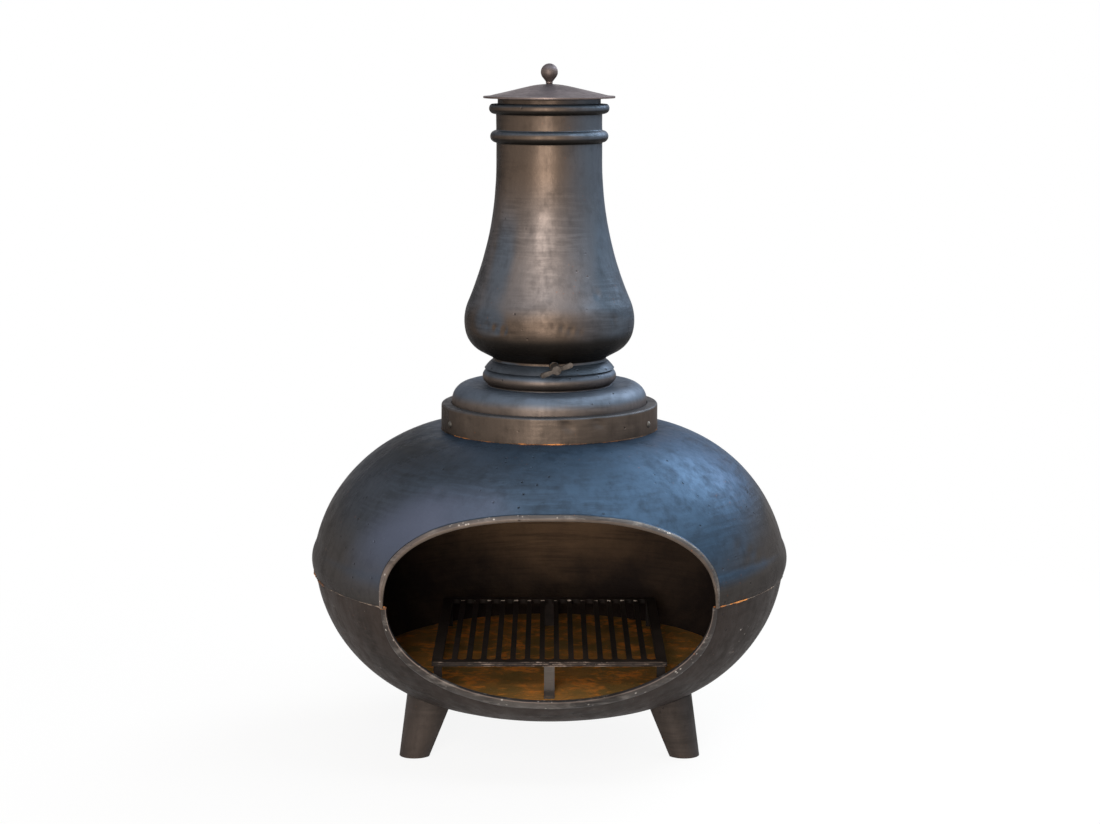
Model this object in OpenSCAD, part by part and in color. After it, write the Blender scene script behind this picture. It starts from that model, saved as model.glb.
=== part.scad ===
// Outdoor iron fireplace: a round two-shell firebox on three splayed legs, with
// a wide front mouth, a loose log grate, a domed neck collar, a bulbous flue
// stack with a butterfly damper, and a lift-off rain lid.
// Millimetres. +Z is up, the mouth faces -Y, the origin lies on the ground under
// the middle of the outline. The flue axis stands a little in front of it, because
// the mouth cuts the round firebox short.

/* [Firebox] */
// Height of the seam between the lower bowl and the upper shell
seam_z = 282; // [276:1:288]
// Casting thickness of both firebox shells
shell_wall = 6; // [5:0.5:7]
// Radius of the side arc of the lower bowl
bowl_side_r = 245.5; // [243:0.5:248]
// Radius of the shallow arc under the bowl
bowl_base_r = 760; // [700:10:820]
// Radius of the side arc of the upper shell
body_side_r = 250.5; // [248:0.5:253]
// Radius of the rolled bead above the seam
seam_bead_r = 53; // [51:0.5:55]

/* [Mouth] */
// Half width of the mouth in the upper shell
mouth_half_w = 256; // [240:1:262]
// Half width of the mouth in the lower bowl
mouth_low_half_w = 250; // [236:1:256]
// Height of the mouth above the seam
mouth_up = 144.5; // [120:0.5:150]
// Depth of the mouth below the seam
mouth_down = 142; // [130:0.5:144]
// Width of the raised bead round the mouth, seen from the front
lip_w = 8; // [6:0.5:11]
// Height of the mouth bead over the shell
lip_h = 4; // [2:0.5:6]

/* [Legs] */
// Angle of each front leg from the front, seen from above
leg_azimuth = 60; // [50:1:65]
// Splay of each leg from vertical
leg_splay = 19.5; // [17:0.5:22]
// Radius of a leg at the ground
leg_foot_r = 25; // [22:0.5:28]
// Growth of the leg radius for each millimetre of its length
leg_taper = 0.17; // [0.12:0.01:0.2]
// Wall of the hollow leg casting
leg_wall = 6; // [5:0.5:8]
// Diameter of the bolt that holds a leg
leg_bolt_d = 10; // [8:1:12]

/* [Hearth plate and grate] */
// Height of the top of the loose plate that floors the firebox
hearth_z = 130; // [124:1:134]
// Thickness of the hearth plate
hearth_t = 6; // [4:0.5:8]
// Overall width of the log grate
grate_w = 368; // [350:1:372]
// Space between the front corners of the grate and the bowl
grate_front_gap = 1.4; // [1:0.1:8]
// Space between the rear corners of the grate and the bowl
grate_rear_gap = 15; // [8:0.5:30]
// Height of the grate over the hearth plate
grate_h = 50; // [44:1:54]
// Number of bars between the side rails
bar_count = 14; // [12:1:16]
// Width of one grate bar
bar_w = 8.3; // [7:0.1:9]
// Depth of the grate rails and bars
bar_t = 7; // [5:0.5:9]
// Width of the four outer rails
rail_w = 16; // [14:0.5:18]

/* [Collar] */
// Outer radius of the clamp band
band_r = 176.3; // [174:0.1:178]
// Height of the clamp band
band_h = 42; // [38:1:45]
// Outer radius of the domed neck collar
dome_r = 158.6; // [156:0.1:160]
// Diameter of a band screw
band_screw_d = 6; // [5:0.5:7]

/* [Stack] */
// Radius of the gas passage through the neck
neck_bore_r = 86; // [85.5:0.1:87]
// Outer radius of the neck at the damper
neck_r = 92.4; // [92:0.1:94]
// Outer radius of the straight top of the stack
stack_r = 85.3; // [84.5:0.1:86]
// Largest radius of the bulb
bulb_r = 138.2; // [137:0.1:139.5]
// Height of the widest ring of the bulb over the collar joint
bulb_rise = 77.5; // [76:0.5:79]
// Height from there to the foot of the straight top
flare_rise = 257; // [250:1:264]
// Depth of the lower bead under the top of the stack
bead_low_drop = 60.5; // [55:0.5:66]
// Depth of the upper bead under the top of the stack
bead_top_drop = 16; // [14:0.5:18]
// Casting thickness of the stack
stack_wall = 6; // [5:0.5:6.5]
// Height of the top face of the stack over the collar joint
stack_top_z = 433.969; // [431.5:0.001:436.5]

/* [Damper] */
// Height of the damper shaft over the collar joint
damper_z = 14.469; // [13.5:0.001:15.5]
// Turn of the damper shaft away from the front
damper_azimuth = 4.5; // [0:0.5:8]
// Tilt of the key and plate in the stored position
damper_tilt = 20; // [15:1:30]
// Diameter of the damper shaft
shaft_d = 8; // [7:0.5:9]
// Thickness of the damper plate
damper_t = 3; // [2:0.5:4]
// Length of the key bar
key_l = 54; // [46:1:58]

/* [Lid] */
// Radius of the lid rim
lid_r = 105.5; // [103:0.5:108]
// Thickness of the lid rim
lid_rim_t = 3; // [2.5:0.5:4]
// Slope of the lid
lid_slope = 13.2; // [11:0.2:15]
// Radius of the knob
knob_r = 13.8; // [12:0.1:15]
// Diameter of the knob stud
stud_d = 6; // [5:0.5:7]

/* [Fits] */
// Free space between parts that move against each other
run_gap = 0.3; // [0.2:0.05:0.5]
// Radial clearance of a screw in its threaded hole
thread_gap = 0.1; // [0.05:0.05:0.2]
// Radial clearance of a bolt in a plain hole
bolt_gap = 0.5; // [0.3:0.1:0.8]

/* [Hidden] */
$fn = 96;
// a length longer than the whole part, for cutters
far = 900;
// overlap that joins two shapes of one casting
weld = 1;

// Firebox profile. Centre of the bowl side arc, from the axis and over the seam
bowl_side_x = 139.5;
bowl_side_up = 32;
bowl_side = [bowl_side_x, seam_z + bowl_side_up];
// angle at which the base arc of the bowl meets its side arc
bowl_blend = asin(bowl_side[0] / (bowl_base_r - bowl_side_r));
// height of the centre of the base arc
bowl_base_z = bowl_side[1] + (bowl_base_r - bowl_side_r) * cos(bowl_blend);
// the upper shell stands a little further out than the bowl
body_over = 4.5;
// centre of the side arc of the upper shell, from the axis and under the seam
body_side_x = bowl_side_x + bowl_side_r + body_over - body_side_r;
body_side_down = 10.4;
body_side = [body_side_x, seam_z - body_side_down];
// angle at which the side arc of the upper shell meets its top arc
body_blend = 70.6;
// radius of the top arc
body_top_r = 126;
body_top = body_side + (body_side_r - body_top_r) * [cos(body_blend), sin(body_blend)];
// cone bands that make up the side of the upper shell
body_steps = 18;
// level top of the upper shell, where the clamp band stands
body_top_z = body_top[1] + body_top_r;
// centre of the rolled bead, from the axis and over the seam; the bead reaches as far out as the shell
seam_bead_x = body_side_x + body_side_r - seam_bead_r;
seam_bead_up = 22.5;
seam_bead = [seam_bead_x, seam_z + seam_bead_up];
// squareness of the mouth outline above and below the seam, 2 being an ellipse
mouth_up_square = 2.33;
mouth_low_square = 2.15;
// straight steps along one quarter of the mouth outline
mouth_steps = 30;

// reach of the lip over the mouth, and the shift that puts the origin in the middle of the outline
lip_reach = body_side_x + sqrt(pow(body_side_r + lip_h, 2) - pow(seam_z + mouth_up - body_side[1], 2));
flue_y = (lip_reach - body_side_x - body_side_r) / 2;

// Collar levels
band_top_z = body_top_z + band_h;
// wall of the band and thickness of its top ledge
band_wall = 7.3;
band_in_r = band_r - band_wall;
ledge_t = 6;
// the ledge stops short of the dome
ledge_gap = 0.8;
ledge_r = dome_r + ledge_gap;
// ring that stands up from the upper shell inside the band
neck_stand_r = band_in_r - run_gap;
neck_stand_wall = 17.7;
neck_stand_in_r = neck_stand_r - neck_stand_wall;
neck_stand_drop = 12;
neck_stand_z = band_top_z - neck_stand_drop;
// rounding of the top edge of the band
band_edge_r = 4;
band_screw_up = 16.5;
band_screw_z = body_top_z + band_screw_up;
band_screw_angles = [64, 180, -64];
band_screw_l = 22;
band_head_r = 6;
band_head_sink = 3;
// dome of the collar
dome_wall = 11;
dome_arc_r = 27;
dome_step = 5;
dome_arc = [dome_r - dome_arc_r, band_top_z + dome_step];
dome_top_z = dome_arc[1] + dome_arc_r;
// fall of the dome from its arc to the neck moulding
dome_fall = 4;
// lower neck moulding and the flange that carries the stack
collar_h = 56.5;
collar_top_z = band_top_z + collar_h;
collar_bead_x = 96.5;
collar_bead_r = 12.5;
collar_bead_drop = 13;
collar_bead = [collar_bead_x, collar_top_z - collar_bead_drop];
// radius of the top face of the collar
collar_face_r = 100.5;
// raised ring on the collar that centres the stack
spigot_wall = 6;
spigot_r = neck_bore_r + spigot_wall;
spigot_h = 5;

// Stack levels, all measured from the collar top
stack_z0 = collar_top_z;
stack_end_z = stack_z0 + stack_top_z;
// moulding over the collar joint: arc centre, arc radius, height
foot_arc_x = 60.3;
foot_arc_down = 29.4;
foot_arc = [foot_arc_x, stack_z0 - foot_arc_down];
foot_arc_r = 54;
foot_h = 13;
neck_z = stack_z0 + foot_h;
bulb_z = stack_z0 + bulb_rise;
bulb_arc_r = 80;
bulb_low_r = 48;
bulb_low_turn = 12;
flare_z = bulb_z + flare_rise;
bead_low = [stack_r, stack_end_z - bead_low_drop];
bead_low_r = 10;
// step from the straight top out to the centre of the upper bead
bead_top_out = 2.5;
bead_top = [stack_r + bead_top_out, stack_end_z - bead_top_drop];
bead_top_r = 9;
stack_lip_r = 82.8;
stack_lip_z = bead_top[1] + bead_top_r * 0.8;
bulb_c = [bulb_r - bulb_arc_r, bulb_z];
// the flare arc touches both the bulb arc and the straight top
top_out = stack_r - bulb_c[0];
flare_r = (pow(top_out, 2) + pow(flare_rise, 2) - pow(bulb_arc_r, 2)) / 2 / (bulb_arc_r - top_out);
// direction of the line through the centres of the bulb arc and the flare arc
flare_turn = asin((flare_z - bulb_z) / (flare_r + bulb_arc_r));
flare_c = bulb_c + (flare_r + bulb_arc_r) * [cos(flare_turn), sin(flare_turn)];
bulb_low_c = bulb_c + (bulb_arc_r - bulb_low_r) * [cos(bulb_low_turn), -sin(bulb_low_turn)];
// slope of the cone under the bulb
bulb_cone = 61.5;

// Damper
shaft_r = shaft_d / 2;
shaft_z = stack_z0 + damper_z;
// radius of the plate, short of the passage by a smoke gap
smoke_gap = 1.5;
plate_r = neck_bore_r - smoke_gap;
boss_r = 8;
// distance of the boss faces from the flue axis
boss_reach = 106;
// shaft left over behind the rear boss
shaft_tail = 6;
// key bar: near face, thickness, radius of its ends, half width at its hub
key_near = 142;
key_t = 6;
key_end_r = 4;
key_waist = 2.4;
key_hub_r = 7;
// screws that hold the plate on the shaft
plate_screw_r = 2.5;
plate_head_r = 4.5;
plate_head_h = 3;
plate_screw_spots = [-40, 40];
clip_t = 2;
clip_r = 7;

// Lid and knob
lid_z = stack_end_z + run_gap;
lid_h = 22;
lid_top_z = lid_z + lid_h;
// round middle of the lid
lid_cap_r = 150;
lid_wall = 4;
// ring that drops into the stack, and the seat beside it that rests on the stack
lid_ring_r = 78;
lid_ring_drop = 12;
lid_seat_over = 2;
lid_seat_r = stack_lip_r + lid_seat_over;
// knob: centre, foot, stud
knob_up = 19;
knob_z = lid_top_z + knob_up;
knob_foot_r = 5;
// half angle at which the foot of the knob meets its ball
knob_cone = 55.5;
stud_drop = 18;
stud_nut_af = 10;
stud_nut_h = 5;

// Grate
// inner radius of the bowl at height z
function bowl_in_r(z) = bowl_side[0] + sqrt(pow(bowl_side_r - shell_wall, 2) - pow(bowl_side[1] - z, 2));
hearth_r = bowl_in_r(hearth_z);
grate_y0 = -sqrt(pow(hearth_r - grate_front_gap, 2) - pow(grate_w / 2, 2));
grate_l = sqrt(pow(hearth_r - grate_rear_gap, 2) - pow(grate_w / 2, 2)) - grate_y0;
grate_top_z = hearth_z + grate_h;
rail_z = grate_top_z - bar_t;
slot_w = (grate_w - 2 * rail_w - bar_count * bar_w) / (bar_count + 1);
slot_pitch = slot_w + bar_w;
// the slots end round in the front and rear rails
slot_r = slot_w / 2;
slot_steps = 8;
// stub of each bar on the rail, past the round ends
bar_stub = 0.5;
bar_end = rail_w + slot_r + bar_stub;
strap_w = 16.5;
strap_t = 4;
post_w = 13;
post_t = 6;
post_inset = 3;
// reach of the turned-out feet of the straps
front_foot_l = 34;
rear_foot_l = 30;
strap_inset = 1;

// Ears, bolts and nuts of the seam
ear_angles = [62, 118, 242, 298];
ear_t = 9;
ear_w = 30;
ear_weld = 2;
seam_bolt_d = 8;
seam_head_af = 13;
seam_head_h = 5.5;
seam_nut_h = 6.5;
seam_bolt_tail = 9;
// inner radius of the shells at the seam
seam_in_r = bowl_in_r(seam_z);
// distance of the bolts from the shell
ear_inset = 15;
ear_r = seam_in_r - ear_inset;

// Legs. Directions of the three legs from the front
leg_angles = [-leg_azimuth, leg_azimuth, 180];
// distance from the ground to the bowl, up the leg axis
leg_len = bowl_side[1] / cos(leg_splay) - bowl_side_r;
// depth of the leg behind its axis, as a share of the foot radius
leg_flat = 0.55;
// solid end of the leg at the ground
leg_sole_t = 12;
// post inside the leg that takes the bolt
leg_post_r = 12;
// seat inside the bowl under a washer
leg_seat_r = leg_bolt_d + 3;
leg_seat_t = 3;
leg_seat_z = leg_len + shell_wall + leg_seat_t;
washer_t = 2;
washer_r = leg_bolt_d + 1;
leg_head_h = 6.5;
// depth of the thread in the post, and of the bolt in it
leg_thread_l = 30;
leg_bolt_l = 26;

// slice of a disc of radius r about c, between the angles a and b
module sector(c, r, a, b) {
    intersection() {
        translate(c) circle(r);
        polygon([c, for (i = [0:2]) c + 3 * r * [cos(a + (b - a) * i / 2), sin(a + (b - a) * i / 2)]]);
    }
}

// points on an arc about c, from angle a to angle b
function arc_points(c, r, a, b, n) =
    [for (i = [0:n]) c + r * [cos(a + (b - a) * i / n), sin(a + (b - a) * i / n)]];

// half section of the solid bowl, with its surface moved in by d
module bowl_section(d) {
    intersection() {
        translate([0, bowl_base_z]) circle(bowl_base_r - d);
        union() {
            translate(bowl_side) circle(bowl_side_r - d);
            // everything on the axis side of the line through the blend
            translate(bowl_side) rotate(bowl_blend) translate([-far, -far]) square([far, 2 * far]);
        }
        square([far, seam_z]);
    }
}

// half section of the solid upper shell, with its surface moved in by d
module body_section(d) {
    start = asin((seam_bead[1] - body_side[1]) / (body_side_r - d));
    side = arc_points(body_side, body_side_r - d, start, body_blend, body_steps);
    polygon([
        [0, seam_bead[1]],
        for (p = side) p,
        body_top,
        [body_top[0], body_top_z - d],
        [0, body_top_z - d]
    ]);
    // rounded shoulder under the clamp band
    sector(body_top, body_top_r - d, body_blend - 1, 90);
    // rolled bead above the seam
    intersection() {
        translate(seam_bead) circle(seam_bead_r - d);
        translate([seam_bead[0] - weld, seam_z]) square([far, far]);
    }
    translate([0, seam_z]) square([seam_bead[0], seam_bead[1] - seam_z + weld]);
}

// rounded outline with different reach on each side of the seam
function arch(w, h, n, a) = [w * pow(cos(a), 2 / n), h * pow(sin(a), 2 / n)];

// one half of the mouth outline, closed just past the seam; up is 1 or -1
module mouth_half(w, h, n, up) {
    right = [for (i = [0:mouth_steps]) arch(w, h, n, 90 * i / mouth_steps)];
    left = [for (i = [mouth_steps - 1:-1:0]) arch(w, h, n, 90 * i / mouth_steps)];
    polygon([
        [w, seam_z - up * 2 * weld],
        for (p = right) [p[0], seam_z + up * p[1]],
        for (p = left) [-p[0], seam_z + up * p[1]],
        [-w, seam_z - up * 2 * weld]
    ]);
}

// prism that runs forward from the axis through the mouth, with the outline grown by g
module mouth_up_cut(g) {
    rotate([90, 0, 0]) linear_extrude(far / 2)
        mouth_half(mouth_half_w + g, mouth_up + g, mouth_up_square, 1);
}

module mouth_down_cut(g) {
    rotate([90, 0, 0]) linear_extrude(far / 2)
        mouth_half(mouth_low_half_w + g, mouth_down + g, mouth_low_square, -1);
}

// six-sided head or nut with its base on z = 0
module hex(af, h) {
    cylinder(h = h, r = af / 2 / cos(30), $fn = 6);
}

// stands its children on a leg axis, with z = 0 at the ground and +Z up the leg
module on_leg(az) {
    foot = bowl_side[0] + bowl_side[1] * tan(leg_splay);
    rotate([0, 0, az]) translate([0, -foot, 0]) rotate([-leg_splay, 0, 0]) children();
}

// lays its children on the damper shaft, with +Z pointing out of the front of the neck
module on_shaft() {
    translate([0, 0, shaft_z]) rotate([90, 0, damper_azimuth]) rotate([0, 0, damper_tilt])
        children();
}

// stands its children on the flue axis
module place() {
    translate([0, flue_y, 0]) children();
}

// carries its children to each pair of ears, with z = 0 at the seam
module on_ears() {
    for (a = ear_angles) {
        rotate([0, 0, a - 90]) translate([ear_r, 0, seam_z]) children();
    }
}

// carries its children to each band screw, with +Z pointing outward
module on_band_screws() {
    for (a = band_screw_angles) {
        translate([0, 0, band_screw_z]) rotate([90, 0, a]) children();
    }
}

module lower_bowl() {
    color("dimgray") place() difference() {
        union() {
            difference() {
                rotate_extrude() bowl_section(0);
                rotate_extrude() bowl_section(shell_wall);
            }
            // raised bead round the lower half of the mouth
            intersection() {
                difference() {
                    rotate_extrude() bowl_section(-lip_h);
                    rotate_extrude() bowl_section(shell_wall / 2);
                }
                mouth_down_cut(lip_w);
            }
            on_ears() translate([-ear_w / 2, -ear_w / 2, -ear_t])
                cube([ear_w / 2 + seam_in_r + ear_weld - ear_r, ear_w, ear_t]);
            // flat seats for the washers of the leg bolts
            for (az = leg_angles) {
                on_leg(az) translate([0, 0, leg_len + weld])
                    cylinder(h = leg_seat_z - leg_len - weld, r = leg_seat_r);
            }
        }
        mouth_down_cut(0);
        on_ears() translate([0, 0, -2 * ear_t]) cylinder(h = 3 * ear_t, r = seam_bolt_d / 2 + bolt_gap);
        for (az = leg_angles) {
            on_leg(az) translate([0, 0, leg_len - leg_thread_l])
                cylinder(h = 2 * leg_thread_l, r = leg_bolt_d / 2 + bolt_gap);
        }
    }
}

module upper_body() {
    color("dimgray") place() difference() {
        union() {
            difference() {
                rotate_extrude() body_section(0);
                rotate_extrude() body_section(shell_wall);
            }
            // ring that stands up inside the clamp band
            translate([0, 0, body_top_z - shell_wall])
                cylinder(h = neck_stand_z - body_top_z + shell_wall, r = neck_stand_r);
            // raised bead round the upper half of the mouth
            intersection() {
                difference() {
                    rotate_extrude() body_section(-lip_h);
                    rotate_extrude() body_section(shell_wall / 2);
                }
                mouth_up_cut(lip_w);
            }
            on_ears() translate([-ear_w / 2, -ear_w / 2, 0])
                cube([ear_w / 2 + seam_in_r + ear_weld - ear_r, ear_w, ear_t]);
        }
        translate([0, 0, body_top_z - far / 4]) cylinder(h = far / 2, r = neck_stand_in_r);
        mouth_up_cut(0);
        on_ears() translate([0, 0, -ear_t]) cylinder(h = 3 * ear_t, r = seam_bolt_d / 2 + bolt_gap);
        on_band_screws() translate([0, 0, neck_stand_in_r - ear_t])
            cylinder(h = band_r - neck_stand_in_r + ear_t, r = band_screw_d / 2 + thread_gap);
    }
}

module seam_bolts() {
    color("gray") place() on_ears() {
        translate([0, 0, ear_t]) hex(seam_head_af, seam_head_h);
        translate([0, 0, -ear_t - seam_bolt_tail])
            cylinder(h = 2 * ear_t + seam_bolt_tail + weld, r = seam_bolt_d / 2);
    }
}

module seam_nuts() {
    color("gray") place() on_ears() translate([0, 0, -ear_t - seam_nut_h]) difference() {
        hex(seam_head_af, seam_nut_h);
        translate([0, 0, -weld]) cylinder(h = seam_nut_h + 2 * weld, r = seam_bolt_d / 2 + thread_gap);
    }
}

// hollow tapered leg, open towards the middle, with a central post for its bolt
module leg(az) {
    reach = leg_len + leg_thread_l;
    below = 20;
    color("dimgray") place() rotate([0, 0, az]) difference() {
        union() {
            difference() {
                intersection() {
                    on_leg(0) translate([0, 0, -below]) cylinder(h = reach + below,
                        r1 = leg_foot_r - below * leg_taper, r2 = leg_foot_r + reach * leg_taper);
                    // the inner side is cut off flat
                    on_leg(0) translate([-far / 2, -far / 2, -2 * below])
                        cube([far, far / 2 + leg_foot_r * leg_flat, far / 2]);
                }
                on_leg(0) translate([0, 0, leg_sole_t]) cylinder(h = reach,
                    r1 = leg_foot_r + leg_sole_t * leg_taper - leg_wall,
                    r2 = leg_foot_r + (reach + leg_sole_t) * leg_taper - leg_wall);
            }
            on_leg(0) translate([0, 0, leg_sole_t - 2 * weld]) cylinder(h = reach, r = leg_post_r);
        }
        // the sole is level with the ground
        translate([-far / 2, -far, -far]) cube([far, far, far]);
        // the top follows the bowl
        rotate_extrude() bowl_section(0);
        on_leg(0) translate([0, 0, leg_len - leg_thread_l])
            cylinder(h = 2 * leg_thread_l, r = leg_bolt_d / 2 + thread_gap);
    }
}

module leg_left() {
    leg(-leg_azimuth);
}

module leg_right() {
    leg(leg_azimuth);
}

module leg_rear() {
    leg(180);
}

module leg_washers() {
    color("silver") place() for (az = leg_angles) {
        on_leg(az) translate([0, 0, leg_seat_z]) difference() {
            cylinder(h = washer_t, r = washer_r);
            translate([0, 0, -weld]) cylinder(h = washer_t + 2 * weld, r = leg_bolt_d / 2 + bolt_gap);
        }
    }
}

module leg_bolts() {
    color("silver") place() for (az = leg_angles) {
        on_leg(az) {
            translate([0, 0, leg_seat_z + washer_t]) hex(1.7 * leg_bolt_d, leg_head_h);
            translate([0, 0, leg_len - leg_bolt_l])
                cylinder(h = leg_seat_z + washer_t - leg_len + leg_bolt_l + weld, r = leg_bolt_d / 2);
        }
    }
}

module hearth_plate() {
    color("sienna") place() translate([0, 0, hearth_z - hearth_t]) cylinder(h = hearth_t,
        r1 = bowl_in_r(hearth_z - hearth_t) - run_gap, r2 = hearth_r - run_gap);
}

// outline of one slot, with round ends in the front and rear rails
module slot() {
    front = [slot_r, rail_w + slot_r];
    back = [slot_r, grate_l - rail_w - slot_r];
    polygon(concat(
        arc_points(front, slot_r, 180, 360, slot_steps),
        arc_points(back, slot_r, 0, 180, slot_steps)));
}

module grate_rails() {
    color("darkslategray") place() translate([-grate_w / 2, grate_y0, rail_z]) difference() {
        cube([grate_w, grate_l, bar_t]);
        // room for the bars, from the middle of the first slot to the middle of the last
        translate([rail_w + slot_r, bar_end, -weld])
            cube([grate_w - 2 * rail_w - slot_w, grate_l - 2 * bar_end, bar_t + 2 * weld]);
        for (i = [0:bar_count]) {
            translate([rail_w + i * slot_pitch, 0, -weld]) linear_extrude(bar_t + 2 * weld) slot();
        }
    }
}

module grate_bars() {
    color("darkslategray") place() for (i = [1:bar_count]) {
        translate([-grate_w / 2 + rail_w + i * slot_pitch - bar_w, grate_y0 + bar_end, rail_z])
            cube([bar_w, grate_l - 2 * bar_end, bar_t]);
    }
}

module grate_corner_legs() {
    color("darkslategray") place() for (x = [-1, 1], y = [0, 1]) {
        translate([x * (grate_w / 2 - post_inset - post_w / 2) - post_w / 2,
            grate_y0 + post_inset + y * (grate_l - 2 * post_inset - post_t), hearth_z])
            cube([post_w, post_t, rail_z - hearth_z]);
    }
}

// bent flat strap: stands under the rail and turns outward into a foot
module strap(foot_l) {
    translate([-strap_w / 2, 0, 0]) {
        cube([strap_w, strap_t, rail_z - hearth_z]);
        translate([0, -foot_l, 0]) cube([strap_w, foot_l + strap_t, strap_t]);
    }
}

module grate_strap_front() {
    color("darkslategray") place() translate([0, grate_y0 + strap_inset, hearth_z]) strap(front_foot_l);
}

module grate_strap_rear() {
    color("darkslategray") place() translate([0, grate_y0 + grate_l - strap_inset, hearth_z])
        rotate([0, 0, 180]) strap(rear_foot_l);
}

module clamp_band() {
    color("dimgray") place() difference() {
        rotate_extrude() {
            translate([band_in_r, body_top_z]) square([band_r - band_in_r, band_h - band_edge_r]);
            translate([ledge_r, band_top_z - ledge_t]) square([band_r - band_edge_r - ledge_r, ledge_t]);
            translate([band_r - band_edge_r, band_top_z - band_edge_r]) circle(band_edge_r);
        }
        on_band_screws() translate([0, 0, neck_stand_r])
            cylinder(h = 2 * (band_r - neck_stand_r), r = band_screw_d / 2 + bolt_gap);
    }
}

module band_screws() {
    // the flat of the head touches the round of the band
    seat = band_r + run_gap / 6;
    color("silver") place() on_band_screws() rotate_extrude() {
        translate([0, seat - band_screw_l]) square([band_screw_d / 2, band_screw_l + weld]);
        intersection() {
            translate([0, seat - band_head_sink]) circle(band_head_r);
            translate([0, seat]) square([band_head_r, band_head_r]);
        }
    }
}

module neck_collar() {
    shoulder_z = dome_top_z - dome_fall;
    color("dimgray") place() rotate_extrude() difference() {
        union() {
            // foot and dome
            translate([0, neck_stand_z]) square([dome_r, dome_arc[1] - neck_stand_z]);
            intersection() {
                translate(dome_arc) circle(dome_arc_r);
                translate([dome_arc[0] - weld, dome_arc[1] - weld]) square(far);
            }
            polygon([
                [0, neck_stand_z],
                [dome_arc[0], neck_stand_z],
                [dome_arc[0], dome_top_z],
                [collar_bead[0], shoulder_z],
                [0, shoulder_z]
            ]);
            // lower neck moulding and its flange
            translate(collar_bead) circle(collar_bead_r);
            translate([0, shoulder_z - weld]) square([collar_face_r, collar_top_z - shoulder_z + weld]);
            // centring ring for the stack
            translate([0, collar_top_z - weld]) square([spigot_r, spigot_h + weld]);
        }
        // gas passage
        translate([0, neck_stand_z - weld]) square([neck_bore_r, far]);
        // hollow under the dome
        translate([0, neck_stand_z - weld])
            square([dome_arc[0], dome_top_z - dome_wall - neck_stand_z + weld]);
        intersection() {
            union() {
                translate(dome_arc) circle(dome_arc_r - dome_wall);
                translate([0, dome_arc[1] - far]) square([dome_r - dome_wall, far]);
            }
            translate([0, neck_stand_z - weld]) square(far);
        }
    }
}

// half section of the solid stack, with its surface moved in by d
module stack_section(d) {
    meet = bulb_c + (bulb_arc_r - d) * [cos(flare_turn), sin(flare_turn)];
    low = bulb_low_c + (bulb_low_r - d) * [cos(bulb_cone), -sin(bulb_cone)];
    sliver = weld / 10;
    // inside of the neck, the cone over it and the bulb
    polygon([
        [0, neck_z],
        [neck_r - d, neck_z],
        [neck_r - d, low[1] - (low[0] - neck_r + d) / tan(bulb_cone)],
        low,
        bulb_low_c + [weld, 0],
        bulb_c + [weld, 0],
        meet,
        [0, meet[1]]
    ]);
    sector(bulb_low_c, bulb_low_r - d, -bulb_cone - 0.5, 1 - bulb_low_turn);
    sector(bulb_c, bulb_arc_r - d, -bulb_low_turn, flare_turn + 1);
    // flare between the bulb and the straight top
    difference() {
        translate([0, meet[1] - sliver]) square([meet[0], flare_z - meet[1] + sliver]);
        translate(flare_c) circle(flare_r + d);
    }
    translate([0, flare_z - sliver]) square([flare_c[0] - flare_r - d, stack_end_z - flare_z + sliver]);
}

module stack() {
    color("dimgray") place() difference() {
        union() {
            difference() {
                rotate_extrude() stack_section(0);
                rotate_extrude() stack_section(stack_wall);
            }
            rotate_extrude() difference() {
                union() {
                    // beads at the top
                    translate(bead_low) circle(bead_low_r);
                    translate(bead_top) circle(bead_top_r);
                    // upper neck moulding: a quarter round over the joint
                    intersection() {
                        translate(foot_arc) circle(foot_arc_r);
                        translate([0, stack_z0]) square([2 * foot_arc_r, foot_h]);
                    }
                    translate([0, stack_z0]) square([neck_r, foot_h + weld]);
                }
                // the beads start in the middle of the wall
                translate([0, stack_z0 - weld]) square([stack_r - stack_wall / 2, far]);
                translate([0, stack_z0 - weld]) square([neck_bore_r, 3 * foot_h]);
                // socket over the centring ring of the collar
                translate([0, stack_z0 - weld]) square([spigot_r + run_gap, spigot_h + run_gap + weld]);
            }
            // bosses that carry the damper shaft
            for (turn = [0, 180]) {
                translate([0, 0, shaft_z]) rotate([90, 0, damper_azimuth + turn])
                    translate([0, 0, neck_r - stack_wall / 2])
                    cylinder(h = boss_reach - neck_r + stack_wall / 2, r = boss_r);
            }
        }
        // the lip above the top bead is a little slimmer
        translate([0, 0, stack_lip_z]) difference() {
            cylinder(h = far, r = 2 * stack_r);
            translate([0, 0, -weld]) cylinder(h = far + 2 * weld, r = stack_lip_r);
        }
        on_shaft() translate([0, 0, -far / 2]) cylinder(h = far, r = shaft_r + run_gap);
    }
}

// lays its children on the damper plate, with z = 0 in the shaft's axis
module on_plate() {
    on_shaft() rotate([-90, 0, 0]) children();
}

module damper_plate() {
    color("gray") place() on_plate() translate([0, 0, shaft_r]) difference() {
        cylinder(h = damper_t, r = plate_r);
        for (s = plate_screw_spots) {
            translate([0, s, -weld]) cylinder(h = damper_t + 2 * weld, r = plate_screw_r + bolt_gap);
        }
    }
}

module damper_screws() {
    color("silver") place() on_plate() for (s = plate_screw_spots) {
        translate([0, s, shaft_r + damper_t]) {
            cylinder(h = plate_head_h, r = plate_head_r);
            translate([0, 0, weld - 2 * shaft_r - damper_t])
                cylinder(h = 2 * shaft_r + damper_t, r = plate_screw_r);
        }
    }
}

module damper_shaft() {
    color("gray") place() difference() {
        on_shaft() translate([0, 0, -boss_reach - shaft_tail])
            cylinder(h = boss_reach + shaft_tail + key_near + key_t + weld, r = shaft_r);
        on_plate() for (s = plate_screw_spots) {
            translate([0, s, weld / 2 - shaft_r])
                cylinder(h = 2 * shaft_r, r = plate_screw_r + thread_gap);
        }
    }
}

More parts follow.
